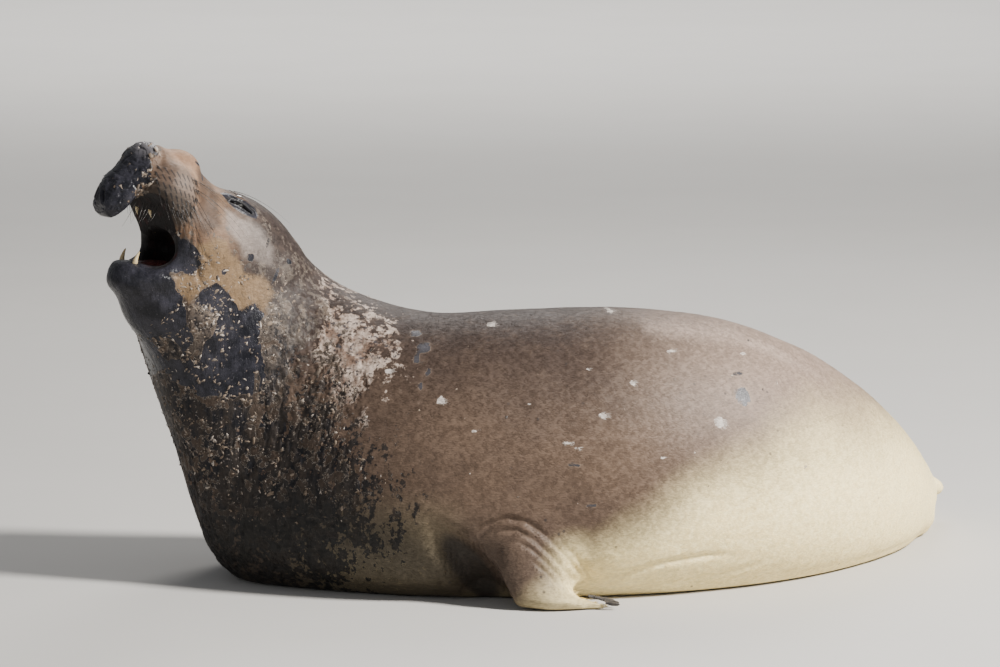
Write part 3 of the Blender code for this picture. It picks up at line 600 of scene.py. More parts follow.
# Rows of whiskers on the pad, each from front to back in the head's frame: first and last (x, y, z), how many
PAD_ROWS = (
    ((0.236, 0.088, -0.018), (0.142, 0.117, -0.006), 8),
    ((0.238, 0.096, -0.036), (0.130, 0.126, -0.026), 9),
    ((0.232, 0.108, -0.054), (0.124, 0.129, -0.046), 9),
    ((0.222, 0.112, -0.070), (0.122, 0.131, -0.066), 8),
    ((0.208, 0.110, -0.084), (0.124, 0.132, -0.084), 7),
    ((0.184, 0.112, -0.098), (0.130, 0.130, -0.100), 5),
)
ROW_BOW = 0.010


def follicles(side):
    """The roots of the pad's whiskers in the head's frame."""
    roots = []
    for first, last, count in PAD_ROWS:
        for t in np.arange(count) / (count - 1):
            point = np.array(first) * (1 - t) + np.array(last) * t
            point[1] += ROW_BOW * 4 * t * (1 - t)
            point[1] *= side
            roots.append(point)
    return roots


def near_pad(head, side):
    """The numbers of the points near the whisker pad of one side."""
    return np.flatnonzero((side * head[:, 1] > 0.04) & (head[:, 0] > 0.09) & (head[:, 2] < 0.02))


def from_hollow(place):
    """How far each place is from the middle of the hollow before the arm, in its radii."""
    (s, z), (rs, rz), _ = HOLLOW
    lean = s - HOLLOW_LEAN * (place[:, 2] - z)
    return np.hypot((place[:, 0] - lean) / rs, (place[:, 2] - z) / rz)


def body_relief(points, place):
    """How far the body's points are pushed in: folds, the hollow before the arm, waves and cracks."""
    flat, left = place[:, [0, 2]], np.abs(place[:, 1])
    outer = smooth_step(0.15, 0.25, left)
    depth = np.zeros(len(points))
    for number, (line, width, deep) in enumerate(BODY_FOLDS):
        both_sides = number < PAIRED_FOLDS
        reach = fold_depth(flat, line, width, deep, 80 + number)
        depth += reach * outer * (1.0 if both_sides else place[:, 1] < 0)
    depth += HOLLOW[2] * outer * smooth_step(1.0, 0.2, from_hollow(place))
    depth += 0.0045 * grain(points, 0.16, 21) + 0.0022 * grain(points, 0.07, 22)
    peel = np.maximum(inside_by(flat, PEELING), inside_by(flat, SCARRED))
    peel = smooth_step(-0.03, 0.05, peel + 0.05 * (grain(points, 0.08, 25) - 0.5))
    stretched = points * (1.0, 1.0, 0.45)
    plates = rough_grain(stretched, 0.020, 26)
    cracks = smooth_step(0.10, 0.0, np.abs(plates - 0.5))
    sunken = smooth_step(0.50, 0.58, rough_grain(stretched, 0.034, 29))
    depth += peel * (0.0026 * cracks + 0.0022 * sunken)
    depth += 0.0006 * rough_grain(points, 0.014, 31)
    return depth


def skin_form():
    """The skin with its folds, as far inside the solids as the coat is deep."""
    obj = even_skin()
    points, out = coordinates(obj.data), normals(obj.data)
    head, place = to_head(points), along_body(points)
    on_head = smooth_step(-0.27, -0.18, head[:, 0]) * smooth_step(-0.62, -0.52, head[:, 2])
    depth = on_head * head_relief(head) + (1 - on_head) * body_relief(points, place)
    inner = in_mouth(head, out) * on_head
    depth = depth * (1 - inner) + inner * 0.0006 + JOIN + COAT_DEPTH
    resting = smooth_step(0.020, 0.006, points[:, 2])
    moved = points - out * depth[:, None]
    moved[:, 2] = moved[:, 2] * (1 - resting) + resting * np.maximum(points[:, 2] - JOIN, 0.0)
    moved[:, 2] = np.maximum(moved[:, 2], GROUND)
    set_coordinates(obj.data, moved)
    obj.data.shade_smooth()
    return obj


# Markings


# The markings, in threes as they are kept on each point; all run from 0 to 1
MARKS = {
    "marks_a": ("bare", "cream", "gold"),
    "marks_b": ("grey", "brown", "scar"),
    "marks_c": ("peel", "mouth", "pale"),
    "marks_d": ("dots", "shade", "lids"),
    "marks_e": ("fore", "pad", "highlight_and_pale"),
}


def markings(points, out):
    """The skin's markings at each point, as one array of three columns for each row of MARKS."""
    head, place = to_head(points), along_body(points)
    flat, body = head[:, [0, 2]], place[:, [0, 2]]
    near_head = smooth_step(-0.33, -0.24, head[:, 0]) * smooth_step(-0.60, -0.48, head[:, 2])
    wide, fine = rough_grain(points, 0.050, 51), rough_grain(points, 0.012, 52)
    uneven = 0.030 * (wide - 0.5) + 0.014 * (fine - 0.5)

    def zone(outline, soft, rough=1.0):
        return smooth_step(-soft, soft, inside_by(flat, outline) + rough * uneven)

    def ovals(places, rows, soft):
        best = np.zeros(len(points))
        for x, z, rx, rz in rows:
            value = spot(places, (x, z), (rx, rz)) + 0.9 * (fine - 0.5)
            best = np.maximum(best, smooth_step(-soft, soft, value))
        return best

    found = {}
    nose = zone(NOSE_BARE, 0.0030, 1.5) * (head[:, 0] > 0.15)
    jaw = zone(JAW_BARE, 0.0030, 1.3)
    islands = smooth_step(0.60, 0.64, rough_grain(points * (1, 1, 0.6), 0.060, 57))
    jaw = jaw * (1.0 - islands * smooth_step(-0.25, -0.31, head[:, 2]) * smooth_step(0.10, 0.02, head[:, 0]))
    eye = zone(EYE_PATCH, 0.0010, 0.12) * (np.abs(head[:, 1]) > 0.045)
    spots = ovals(flat, [(*at, *radii) for at, radii in HEAD_SPOTS], 0.15)
    patches = ovals(body, BLUE_PATCHES, 0.2) * smooth_step(0.10, 0.14, np.abs(place[:, 1]))
    found["bare"] = np.clip(near_head * np.maximum.reduce([nose, jaw, eye, spots]) + patches, 0, 1)
    found["cream"] = creamy(points, place) * (1 - near_head)
    found["cream"] *= 1.0 - 0.42 * limb_share(place) * (place[:, 0] < 0.6)

    found["gold"] = near_head * zone(GOLD_CHEEK, 0.008)
    found["grey"] = near_head * zone(GREY_CHEEK, 0.014, 0.8)
    # The brown marking: the brown band and old brown skin, with painted shade on the lower rim of the pad
    brown = np.maximum(zone(BROWN_BAND, 0.012, 0.6), zone(PAD_RIM, 0.010, 0.4))
    found["brown"] = near_head * np.maximum(brown, 0.8 * zone(NOSE_EDGE, 0.012, 0.8))
    found["pad"] = near_head * smooth_step(-0.006, 0.018, inside_by(flat, PAD))
    # Painted shade: the lower chest, the hollow before the arm, and the lower pad and upper lip
    lip = 0.80 * near_head * zone(PAD_LOW, 0.014, 0.5)
    found["shade"] = np.maximum(shaded(place), lip)
    found["dots"] = pad_streaks(head)
    found["lids"] = eyelids(head)
    found["mouth"] = in_mouth(head, out) * near_head

    scarred = inside_by(body, SCARRED) + 0.12 * (rough_grain(points * (1, 1, 0.7), 0.060, 61) - 0.5)
    found["scar"] = smooth_step(-0.09, 0.12, scarred) * (1 - near_head)
    peeling = inside_by(body, PEELING) + 0.16 * (rough_grain(points * (1, 1, 0.5), 0.080, 62) - 0.5)
    found["peel"] = smooth_step(-0.15, 0.14, peeling)
    found["pale"] = ovals(body, PALE_PATCHES, 0.3) * (place[:, 1] < 0)
    snout = smooth_step(-0.10, 0.10, head[:, 0] - 0.35 * (head[:, 2] + 0.10))
    found["fore"] = snout * smooth_step(-0.20, -0.08, head[:, 2])
    # Painted highlight along the stripe on the back and on the top of the nose, with the paler grey of the
    # bare patches
    stripe, share = to_line(body, STRIPE)
    stripe = smooth_step(0.030, 0.0, stripe) * smooth_step(0.0, 0.3, share) * smooth_step(1.0, 0.7, share)
    top = near_head * smooth_step(-0.03, 0.03, head[:, 2]) * smooth_step(0.20, 0.24, head[:, 0])
    found["highlight_and_pale"] = np.clip(stripe * (place[:, 1] < 0) + top + 0.45 * patches, 0, 1)
    return [np.stack([found[word] for word in words], axis=1) for words in MARKS.values()]


def creamy(points, place):
    """1 on the cream flank, belly and tail, and behind the arm."""
    edge = np.interp(place[:, 0], *zip(*CREAM_EDGE))
    soft = np.interp(place[:, 0], (0.0, 0.3, 0.8), (0.05, 0.11, 0.16))
    flank = smooth_step(edge + soft, edge - soft, place[:, 2] + 0.10 * (rough_grain(points, 0.22, 54) - 0.5))
    axilla = smooth_step(0.0, 1.0, spot(place[:, [0, 2]], (0.142, 0.105), (0.085, 0.105)))
    front = smooth_step(-0.52, -0.30, place[:, 0]) * smooth_step(-0.04, -0.16, place[:, 0])
    belly = 0.45 * smooth_step(0.30, 0.02, place[:, 2]) * front
    tail = smooth_step(1.36, 1.44, place[:, 0])
    return np.clip(np.maximum.reduce([flank, 0.8 * axilla, belly, tail]), 0, 1)


def pad_streaks(head):
    """1 on the dark streaks behind and below the roots of the whiskers: dark bristle with its painted shadow;
    0 elsewhere.
    """
    found = np.zeros(len(head))
    lie = np.array([-0.70, 0.0, -0.71])
    for side in (1.0, -1.0):
        near = near_pad(head, side)
        for root in follicles(side):
            delta = head[near] - root
            run = np.clip(delta @ lie, -0.002, 0.013)
            away = np.linalg.norm((delta - run[:, None] * lie)[:, [0, 2]], axis=1)
            width = 0.0030 - 0.10 * np.abs(run)
            found[near] = np.maximum(found[near], smooth_step(width, width * 0.4, away))
    return found


def shaded(place):
    """1 where shade is painted: the lower chest and the hollow before the arm."""
    (s, z), (rs, rz) = CHEST_SHADE
    chest = smooth_step(1.0, 0.40, np.hypot((place[:, 0] - s) / rs, (place[:, 2] - z) / rz))
    arm = smooth_step(1.00, 0.45, from_hollow(place))
    return np.clip(np.maximum(0.92 * chest, arm * (np.abs(place[:, 1]) > 0.15)), 0, 1)


def eyelids(head):
    """1 on the paler lids inside the dark patch round each eye."""
    flat = head[:, [0, 2]]
    away, _ = to_line(flat, EYE_SLIT)
    near = (np.abs(head[:, 1]) > 0.045) & (np.abs(head[:, 2]) < 0.05)
    return near * smooth_step(0.0095, 0.0065, away) * smooth_step(0.0022, 0.0040, away)


def mark(mesh, rows):
    """Keeps the markings on a mesh for its material."""
    for name, row in zip(MARKS, rows):
        store(mesh, name, row)


def marking(rows, word):
    """One marking of all the points."""
    for row, words in zip(rows, MARKS.values()):
        if word in words:
            return row[:, words.index(word)]
    raise KeyError(word)


# Materials


class Nodes:
    """A short way to write a material's nodes."""

    def __init__(self, name):
        self.material = bpy.data.materials.new(name)
        self.material.use_nodes = True
        self.tree = self.material.node_tree
        self.shader = self.tree.nodes["Principled BSDF"]
        self.place = self.tree.nodes.new("ShaderNodeTexCoord").outputs["Object"]

    def link(self, value, socket):
        if isinstance(value, bpy.types.NodeSocket):
            self.tree.links.new(value, socket)
        elif isinstance(value, tuple) and len(value) < len(socket.default_value):
            socket.default_value = (*value, 1.0)
        else:
            socket.default_value = value

    def new(self, kind):
        return self.tree.nodes.new("ShaderNode" + kind)

    def fed(self, node, sockets):
        """The node, with these sockets linked or set."""
        for key, value in sockets.items():
            self.link(value, node.inputs[key])
        return node

    def stretched(self, scale):
        return self.fed(self.new("Mapping"), {"Vector": self.place, "Scale": scale}).outputs["Vector"]

    def noise(self, scale, detail=3.0, roughness=0.55, where=None):
        where = self.place if where is None else where
        sockets = {"Vector": where, "Scale": scale, "Detail": detail, "Roughness": roughness}
        return self.fed(self.new("TexNoise"), sockets).outputs["Fac"]

    def cells(self, scale):
        return self.fed(self.new("TexVoronoi"), {"Vector": self.place, "Scale": scale}).outputs["Distance"]

    def math(self, operation, a, b=0.0):
        node = self.new("Math")
        node.operation = operation
        return self.fed(node, {0: a, 1: b}).outputs[0]

    def times(self, a, b):
        return self.math("MULTIPLY", a, b)

    def off_by(self, value, middle):
        """How far a value is from a middle one, either way."""
        return self.math("ABSOLUTE", self.math("SUBTRACT", value, middle))

    def step(self, value, low, high, to_low=0.0, to_high=1.0):
        node = self.new("MapRange")
        node.interpolation_type = "SMOOTHSTEP"
        sockets = {"Value": value, "From Min": low, "From Max": high, "To Min": to_low, "To Max": to_high}
        return self.fed(node, sockets).outputs["Result"]

    def mix(self, share, a, b, blend="MIX"):
        """Two colours mixed; 6, 7 and 2 are the colour sockets of the node."""
        node = self.new("Mix")
        node.data_type = "RGBA"
        node.blend_type = blend
        return self.fed(node, {"Factor": share, 6: a, 7: b}).outputs[2]

    def cover(self, below, share, above, strength=None):
        """A colour laid over another, by a share and a strength."""
        return self.mix(share if strength is None else self.times(share, strength), below, above)

    def kept(self, name):
        node = self.new("Attribute")
        node.attribute_name = name
        split = self.fed(self.new("SeparateColor"), {"Color": node.outputs["Color"]})
        return split.outputs[0], split.outputs[1], split.outputs[2]

    def bump(self, height, strength, distance, below=None):
        sockets = {"Strength": strength, "Distance": distance, "Height": height}
        if below is not None:
            sockets["Normal"] = below
        return self.fed(self.new("Bump"), sockets).outputs["Normal"]

    def surface(self, constants):
        """Constants on the shader's own sockets."""
        for name, value in constants.items():
            self.shader.inputs[name].default_value = value

    def finish(self, colour, roughness, normal=None):
        self.link(colour, self.shader.inputs["Base Color"])
        self.link(roughness, self.shader.inputs["Roughness"])
        if normal is not None:
            self.link(normal, self.shader.inputs["Normal"])
        return self.material


def ragged(nodes, value, noise, reach):
    """A marking with a torn edge: the value and some noise, cut sharply at the middle."""
    torn = nodes.math("ADD", value, nodes.times(nodes.math("SUBTRACT", noise, 0.5), reach))
    return nodes.step(torn, 0.42, 0.58)


class Skin:
    """The markings, grains and places that the colours of skin and coat are mixed from."""

    def __init__(self, nodes):
        self.bare, self.cream, self.gold = nodes.kept("marks_a")
        self.grey, self.brown, self.scar = nodes.kept("marks_b")
        self.peel, self.mouth, self.pale = nodes.kept("marks_c")
        self.dots, self.shade, self.lids = nodes.kept("marks_d")
        self.fore, self.pad, self.highlight_and_pale = nodes.kept("marks_e")
        self.broad = nodes.noise(5.0, 4.0, 0.6)
        self.medium = nodes.noise(28.0, 4.0, 0.6)
        self.small = nodes.noise(120.0, 3.0, 0.6)
        self.hairs = nodes.noise(260.0, 2.0, 0.5, nodes.stretched((0.35, 0.35, 1.0)))
        self.streaks = nodes.noise(34.0, 4.0, 0.62, nodes.stretched((1.0, 1.0, 0.32)))
        self.torn = nodes.times(nodes.math("ADD", self.streaks, nodes.noise(75.0, 4.0, 0.65)), 0.5)
        self.is_bare = ragged(nodes, self.bare, self.torn, 0.9)
        self.peeled = nodes.times(ragged(nodes, self.peel, self.torn, 5.0), nodes.step(self.peel, 0.02, 0.14))
        separate = nodes.fed(nodes.new("SeparateXYZ"), {0: nodes.place})
        self.x, self.z = separate.outputs["X"], separate.outputs["Z"]


def trunk_colour(nodes, skin):
    """Brown, darkest on the shoulders, with painted sheen on the top towards the rump and a painted highlight
    stripe, tan on the snout, cream below.
    """
    shoulders = nodes.step(skin.x, 0.45, -0.05, 0.50, 0.92)
    # Painted sheen: the top of the trunk lighter towards the rump, where the light falls
    rearward = nodes.step(skin.x, 0.10, 0.62)
    sheen_on_top = nodes.times(rearward, nodes.step(skin.z, 0.30, 0.55, 0.20, 0.68))
    patchy = nodes.step(nodes.noise(46.0, 4.0, 0.7), 0.64, 0.74, 0.0, 0.22)
    mottled = nodes.step(nodes.noise(18.0, 3.0), 0.35, 0.65)
    snout = nodes.mix(mottled, (0.270, 0.165, 0.100), (0.210, 0.120, 0.070))
    cream = nodes.mix(skin.broad, (0.97, 0.83, 0.46), (0.93, 0.77, 0.40))
    colour = nodes.mix(nodes.step(skin.broad, 0.30, 0.70), (0.126, 0.082, 0.056), (0.094, 0.061, 0.043))
    colour = nodes.cover(colour, nodes.step(skin.z, 0.34, 0.70), (0.024, 0.016, 0.014), shoulders)
    colour = nodes.cover(colour, sheen_on_top, (0.330, 0.245, 0.195))
    colour = nodes.cover(colour, nodes.step(skin.medium, 0.45, 0.80, 0.0, 0.16), (0.230, 0.160, 0.115))
    colour = nodes.cover(colour, patchy, (0.30, 0.23, 0.18))
    colour = nodes.cover(colour, skin.fore, snout)
    # Painted highlight along the stripe on the back
    colour = nodes.cover(colour, skin.highlight_and_pale, (0.40, 0.31, 0.26), 0.35)
    return nodes.cover(colour, skin.cream, cream)


def with_scars(nodes, skin, colour):
    """Pale torn streaks and dark pits over the neck."""
    scars = nodes.mix(nodes.step(skin.streaks, 0.38, 0.62), (0.160, 0.102, 0.074), (0.42, 0.335, 0.28))
    scars = nodes.cover(scars, nodes.step(nodes.noise(60.0, 4.0, 0.65), 0.56, 0.62), (0.055, 0.048, 0.050))
    scarred = ragged(nodes, skin.scar, skin.torn, 3.2)
    return nodes.cover(colour, scarred, scars, nodes.step(skin.scar, 0.0, 0.15))


def with_peeling(nodes, skin, colour):
    """New dark skin with brown rests and pale rims of the old, and painted shade on it where the shade
    marking lies.
    """
    rests = nodes.step(nodes.noise(16.0, 3.0), 0.55, 0.62, 0.0, 0.50)
    rims = nodes.step(nodes.off_by(skin.medium, 0.55), 0.008, 0.0, 0.0, 0.7)
    upper = nodes.step(skin.z, 0.40, 0.72, 0.0, 0.22)
    peel = nodes.mix(nodes.step(skin.streaks, 0.38, 0.60), (0.006, 0.006, 0.009), (0.026, 0.020, 0.017))
    peel = nodes.cover(peel, nodes.step(skin.medium, 0.52, 0.60, 0.0, 0.85), (0.060, 0.041, 0.029))
    peel = nodes.cover(peel, rests, (0.050, 0.035, 0.025))
    peel = nodes.cover(peel, rims, (0.36, 0.31, 0.26))
    peel = nodes.cover(peel, nodes.step(skin.small, 0.64, 0.70, 0.0, 0.8), (0.26, 0.23, 0.21))
    peel = nodes.cover(peel, upper, (0.30, 0.235, 0.185), nodes.step(skin.torn, 0.46, 0.56))
    # Painted shade on the lower chest and in the hollow before the arm
    peel = nodes.cover(peel, skin.shade, (0.008, 0.0075, 0.007), 0.92)
    return nodes.cover(colour, skin.peeled, peel)


def with_face(nodes, skin, colour):
    """The gold and grey cheek, the pad, the brown band and painted shade on the pad's rim, torn lines,
    painted shade outside the peeled skin, pale scars and dark specks.
    """
    gold = nodes.mix(skin.streaks, (0.240, 0.158, 0.084), (0.150, 0.094, 0.052))
    grey = nodes.mix(skin.small, (0.245, 0.205, 0.180), (0.36, 0.31, 0.28))
    torn_lines = nodes.step(nodes.off_by(skin.torn, 0.5), 0.012, 0.0, 0.0, 0.55)
    cheek = nodes.math("MAXIMUM", skin.gold, nodes.times(skin.grey, 0.4))
    unpeeled = nodes.step(skin.peeled, 0.0, 1.0, 1.0, 0.0)
    specks = nodes.times(nodes.step(nodes.cells(26.0), 0.13, 0.07), nodes.step(skin.broad, 0.50, 0.60))
    colour = nodes.cover(colour, skin.gold, gold)
    colour = nodes.cover(colour, skin.grey, grey, nodes.step(skin.broad, 0.30, 0.60, 0.45, 0.80))
    colour = nodes.cover(colour, skin.pad, (0.112, 0.086, 0.072), 0.80)
    # The brown band, the old brown skin by the nose, and painted shade on the pad's rim
    colour = nodes.cover(colour, skin.brown, (0.070, 0.043, 0.029), 0.90)
    colour = nodes.cover(colour, torn_lines, (0.060, 0.044, 0.034), cheek)
    # Painted shade outside the peeled skin: the lower chest, the hollow and the lower pad and lip
    colour = nodes.cover(colour, nodes.math("POWER", skin.shade, 1.2), (0.036, 0.029, 0.023), unpeeled)
    colour = nodes.cover(colour, ragged(nodes, skin.pale, skin.small, 1.2), (0.48, 0.43, 0.39))
    return nodes.cover(colour, specks, (0.030, 0.027, 0.028), 0.60)


def with_bare_skin(nodes, skin, colour):
    """Bare blue-black skin with paler grain and a tan rim; then the lids, the pad's streaks and the mouth."""
    flecks = nodes.step(nodes.noise(330.0, 2.0), 0.66, 0.72, 0.0, 0.5)
    rim = nodes.step(nodes.off_by(skin.bare, 0.5), 0.16, 0.02, 0.0, 0.28)
    # The mouth's lining painted near black: painted shade inside the mouth over its dark red
    lining = nodes.mix(nodes.step(skin.medium, 0.55, 0.80), (0.0060, 0.0036, 0.0036), (0.050, 0.013, 0.011))
    bare = nodes.mix(nodes.step(skin.medium, 0.35, 0.70), (0.0070, 0.0072, 0.0105), (0.030, 0.029, 0.038))
    bare = nodes.cover(bare, nodes.step(skin.small, 0.64, 0.80, 0.0, 0.45), (0.100, 0.092, 0.100))
    bare = nodes.cover(bare, flecks, (0.16, 0.15, 0.16))
    # Painted highlight on the top of the nose, and the paler grey of the bare patches
    bare = nodes.cover(bare, skin.highlight_and_pale, (0.120, 0.112, 0.116), 0.65)
    colour = nodes.cover(colour, skin.is_bare, bare)
    colour = nodes.cover(colour, rim, (0.32, 0.24, 0.17))
    colour = nodes.cover(colour, skin.lids, (0.026, 0.024, 0.024), 0.75)
    # The pad's dark streaks: the bristles' dark hair and their painted shadow
    colour = nodes.cover(colour, skin.dots, (0.012, 0.011, 0.012), 0.90)
    return nodes.cover(colour, skin.mouth, lining)


def hide_colour(nodes, skin):
    """The colour of skin and coat from the markings, with fine strands of light and dark."""
    colour = trunk_colour(nodes, skin)
    for layer in (with_scars, with_peeling, with_face, with_bare_skin):
        colour = layer(nodes, skin, colour)
    strands = nodes.step(skin.hairs, 0.30, 0.72, 0.88, 1.08)
    tone = nodes.fed(nodes.new("CombineColor"), {0: strands, 1: strands, 2: strands}).outputs[0]
    return nodes.mix(1.0, colour, tone, "MULTIPLY")


FUR_SURFACE = {"Specular IOR Level": 0.25, "Sheen Weight": 0.015, "Sheen Roughness": 0.5}


def hide_material():
    """Skin: short flat hair as fine grain, glossy where bare, cracked where it peels."""
    nodes = Nodes("hide")
    skin = Skin(nodes)
    glossy = nodes.math("MAXIMUM", skin.is_bare, skin.mouth)
    roughness = nodes.step(skin.is_bare, 0.0, 1.0, 0.60, 0.31)
    roughness = nodes.math("ADD", roughness, nodes.times(skin.mouth, 0.20))
    roughness = nodes.math("ADD", roughness, nodes.times(nodes.math("SUBTRACT", skin.small, 0.5), 0.25))
    furred = nodes.math("SUBTRACT", 1.0, glossy)
    normal = nodes.bump(nodes.times(skin.hairs, furred), 0.55, 0.0016)
    normal = nodes.bump(nodes.times(nodes.cells(420.0), glossy), 0.35, 0.0012, normal)
    normal = nodes.bump(nodes.times(skin.streaks, skin.peel), 0.8, 0.008, normal)
    normal = nodes.bump(skin.medium, 0.22, 0.006, normal)
    nodes.surface(FUR_SURFACE)
    return nodes.finish(hide_colour(nodes, skin), roughness, normal)


def coat_material():
    """Hair: the skin's own colours, a little lighter at the tips."""
    nodes = Nodes("coat")
    colour = hide_colour(nodes, Skin(nodes))
    tip, shade, _ = nodes.kept("hair")
    for share, strength, tint in ((tip, 0.08, (1.5, 1.42, 1.3)), (shade, 0.07, (0.6, 0.58, 0.56))):
        colour = nodes.cover(colour, share, nodes.mix(1.0, colour, tint, "MULTIPLY"), strength)
    nodes.surface(FUR_SURFACE)
    return nodes.finish(colour, 0.55)


def plain_material(name, dark, light, scale, roughness, bump=0.15, distance=0.001, coat=0.0):
    """A wet or horny surface: two colours mottled, with fine bump."""
    nodes = Nodes(name)
    mottle = nodes.noise(scale, 4.0, 0.6)
    colour = nodes.mix(nodes.step(mottle, 0.3, 0.7), dark, light)
    rough = nodes.step(mottle, 0.2, 0.8, roughness * 0.8, roughness * 1.25)
    nodes.surface({"Coat Weight": coat, "Coat Roughness": 0.08})
    return nodes.finish(colour, rough, nodes.bump(nodes.noise(scale * 4.0, 3.0), bump, distance))


# Coat


COAT_PARTS = (
    ("coat_head", 11000), ("coat_neck", 8000), ("coat_chest", 12500), ("coat_side", 12500),
    ("coat_back", 13000), ("coat_rump", 13500), ("coat_flippers", 6500),
)
BLADES = 4
SPREAD = 0.8
SEED = 7


def coat_share(head, place):
    """Which part of the coat each place belongs to, as a number in COAT_PARTS."""
    part = np.full(len(head), 2)
    part[place[:, 0] > 0.12] = 3
    part[(place[:, 0] > 0.12) & (place[:, 2] > 0.42)] = 4
    part[place[:, 0] > 0.70] = 5
    part[place[:, 0] < -0.26] = 1
    part[(head[:, 0] > -0.27) & (head[:, 2] > -0.45)] = 0
    part[limb_share(place) > 0.5] = 6
    return part


def triangles(mesh):
    """The corners of every triangle of a mesh."""
    mesh.calc_loop_triangles()
    corners = np.empty(len(mesh.loop_triangles) * 3, np.int32)
    mesh.loop_triangles.foreach_get("vertices", corners)
    return corners.reshape(-1, 3)


def lie_of_coat(head, place, out):
    """The way the hair lies: back from the nose over the head, along the spine, down the flippers."""
    backward = -HEAD_AXES[0] - 0.25 * HEAD_AXES[2]
    heading = place[:, 3]
    tailward = np.stack([np.cos(heading), np.sin(heading), np.full(len(head), -0.18)], axis=1)
    on_head = smooth_step(-0.45, -0.12, head[:, 0])[:, None]
    way = backward * on_head + tailward * (1 - on_head)
    way -= out * (way * out).sum(axis=1)[:, None]
    return way / np.maximum(np.linalg.norm(way, axis=1), 1e-6)[:, None]


def unwrapped(part, head, place):
    """Where each root lies on an unwrap of the skin: round the body and along it."""
    if part == 0:
        angle = np.arctan2(head[:, 1], head[:, 2] + 0.10)
        run = (head[:, 0] + 0.30) / 0.70
    else:
        angle = np.arctan2(place[:, 1], place[:, 2] - 0.28)
        run = (place[:, 0] + 1.15) / 2.90
    return np.stack([0.02 + 0.96 * np.clip(run, 0, 1), 0.02 + 0.96 * (angle / (2 * math.pi) + 0.5)], axis=1)


def coat_pieces(skin, rows):
    """Tufts of short hair all over the furred skin, as joined meshes."""
    points, out, faces = coordinates(skin.data), normals(skin.data), triangles(skin.data)
    corners = points[faces]
    area = np.linalg.norm(np.cross(corners[:, 1] - corners[:, 0], corners[:, 2] - corners[:, 0]), axis=1) / 2
    centre = corners.mean(axis=1)
    head, place = to_head(centre), along_body(centre)
    part = coat_share(head, place)
    means = [row[faces].mean(axis=1) for row in rows]
    furred = 1 - smooth_step(0.3, 0.6, marking(means, "bare"))
    furred = furred * (1 - smooth_step(0.2, 0.5, marking(means, "mouth"))) * (centre[:, 2] > 0.010)
    furred = furred * (1 - 0.35 * marking(means, "peel"))
    denser_face = 1.0 + 1.2 * smooth_step(-0.12, 0.05, head[:, 0]) * (part == 0)
    weight = area * furred * denser_face
    rng = np.random.default_rng(SEED)
    material = coat_material()
    pieces = []
    for number, (name, count) in enumerate(COAT_PARTS):
        chosen = np.flatnonzero((part == number) & (weight > 0))
        pick = faces[rng.choice(chosen, count, p=weight[chosen] / weight[chosen].sum())]
        u, v = rng.random(count), rng.random(count)
        over = u + v > 1
        u[over], v[over] = 1 - u[over], 1 - v[over]
        share = np.stack([1 - u - v, u, v], axis=1)[:, :, None]
        root, up = (points[pick] * share).sum(axis=1), (out[pick] * share).sum(axis=1)
        up /= np.linalg.norm(up, axis=1)[:, None]
        kept = [(row[pick] * share).sum(axis=1) for row in rows]
        pieces.append(tuft_mesh(name, number, root, up, kept, rng, material))
    return pieces


# A tuft's length, width and lift: on the body, then how much less on the face and on a flipper
TUFT_LENGTH = (0.0125, 0.0080, 0.0055)
TUFT_WIDTH = (0.0010, 0.0004, 0.0002)
TUFT_LIFT = (0.0013, 0.0006, 0.0003)
# A blade's five corners on its patch of the unwrap, and its three triangles
BLADE_CHART = 0.0015 * np.array([[-1.0, -1.0], [1.0, -1.0], [0.8, 0.1], [-0.8, 0.1], [0.0, 1.0]])
BLADE_FACES = np.array([[0, 2, 1], [0, 3, 2], [3, 4, 2]])
LOWEST = 0.0003


def tuft_mesh(name, number, root, up, kept, rng, material):
    """One piece of the coat: every tuft is a few tapered blades that lie along the skin."""
    count = len(root)
    head, place = to_head(root), along_body(root)
    way = lie_of_coat(head, place, up)
    across = np.cross(up, way)
    face = smooth_step(-0.14, 0.06, head[:, 0]) * (number == 0)
    limb = float(name == "coat_flippers")

    def sized(size, low, high):
        return (size[0] - size[1] * face - size[2] * limb) * rng.uniform(low, high, count)

    length = sized(TUFT_LENGTH, 0.75, 1.25)
    width = sized(TUFT_WIDTH, 0.8, 1.2)
    lift = sized(TUFT_LIFT, 0.6, 1.3)
    chart = unwrapped(number, head, place)
    blades = []
    for blade in range(BLADES):
        offset = (blade - (BLADES - 1) / 2) / BLADES
        turn = offset * 0.40 + rng.normal(0.0, 0.10, count)
        slide = rng.uniform(-0.5, 0.5, count) * length * SPREAD
        along = way * np.cos(turn)[:, None] + across * np.sin(turn)[:, None]
        side = np.cross(up, along) * (width / 2)[:, None]
        base = root + across * (offset * 7.0 * width)[:, None] + way * slide[:, None] - up * 0.0006
        reach = (length * rng.uniform(0.8, 1.1, count))[:, None]
        half = base + along * reach * 0.5 + up * (lift * 0.85)[:, None]
        tip = base + along * reach + up * (lift * 0.9)[:, None]
        blades.append(np.stack([base - side, base + side, half + side * 0.8, half - side * 0.8, tip], axis=1))
    points = np.stack(blades, axis=1).reshape(-1, 3)
    points[:, 2] = np.maximum(points[:, 2], LOWEST)
    charts = np.repeat(chart, BLADES, axis=0)[:, None] + BLADE_CHART[None]
    corners = len(BLADE_CHART)
    faces = (np.arange(count * BLADES)[:, None, None] * corners + BLADE_FACES[None]).reshape(-1, 3)
    obj = fast_mesh(name, points, faces)
    layer = obj.data.uv_layers.new(name="OFBake")
    layer.data.foreach_set("uv", charts.reshape(-1, 2)[faces.ravel()].astype(np.float32).ravel())
    mark(obj.data, [np.repeat(row, BLADES * corners, axis=0) for row in kept])
    tips = np.tile((0.0, 0.0, 0.5, 0.5, 1.0), count * BLADES)
    shade = np.repeat(rng.random(count), BLADES * corners)
    store(obj.data, "hair", np.stack([tips, shade, shade], axis=1))
    obj.data.materials.append(material)
    return obj


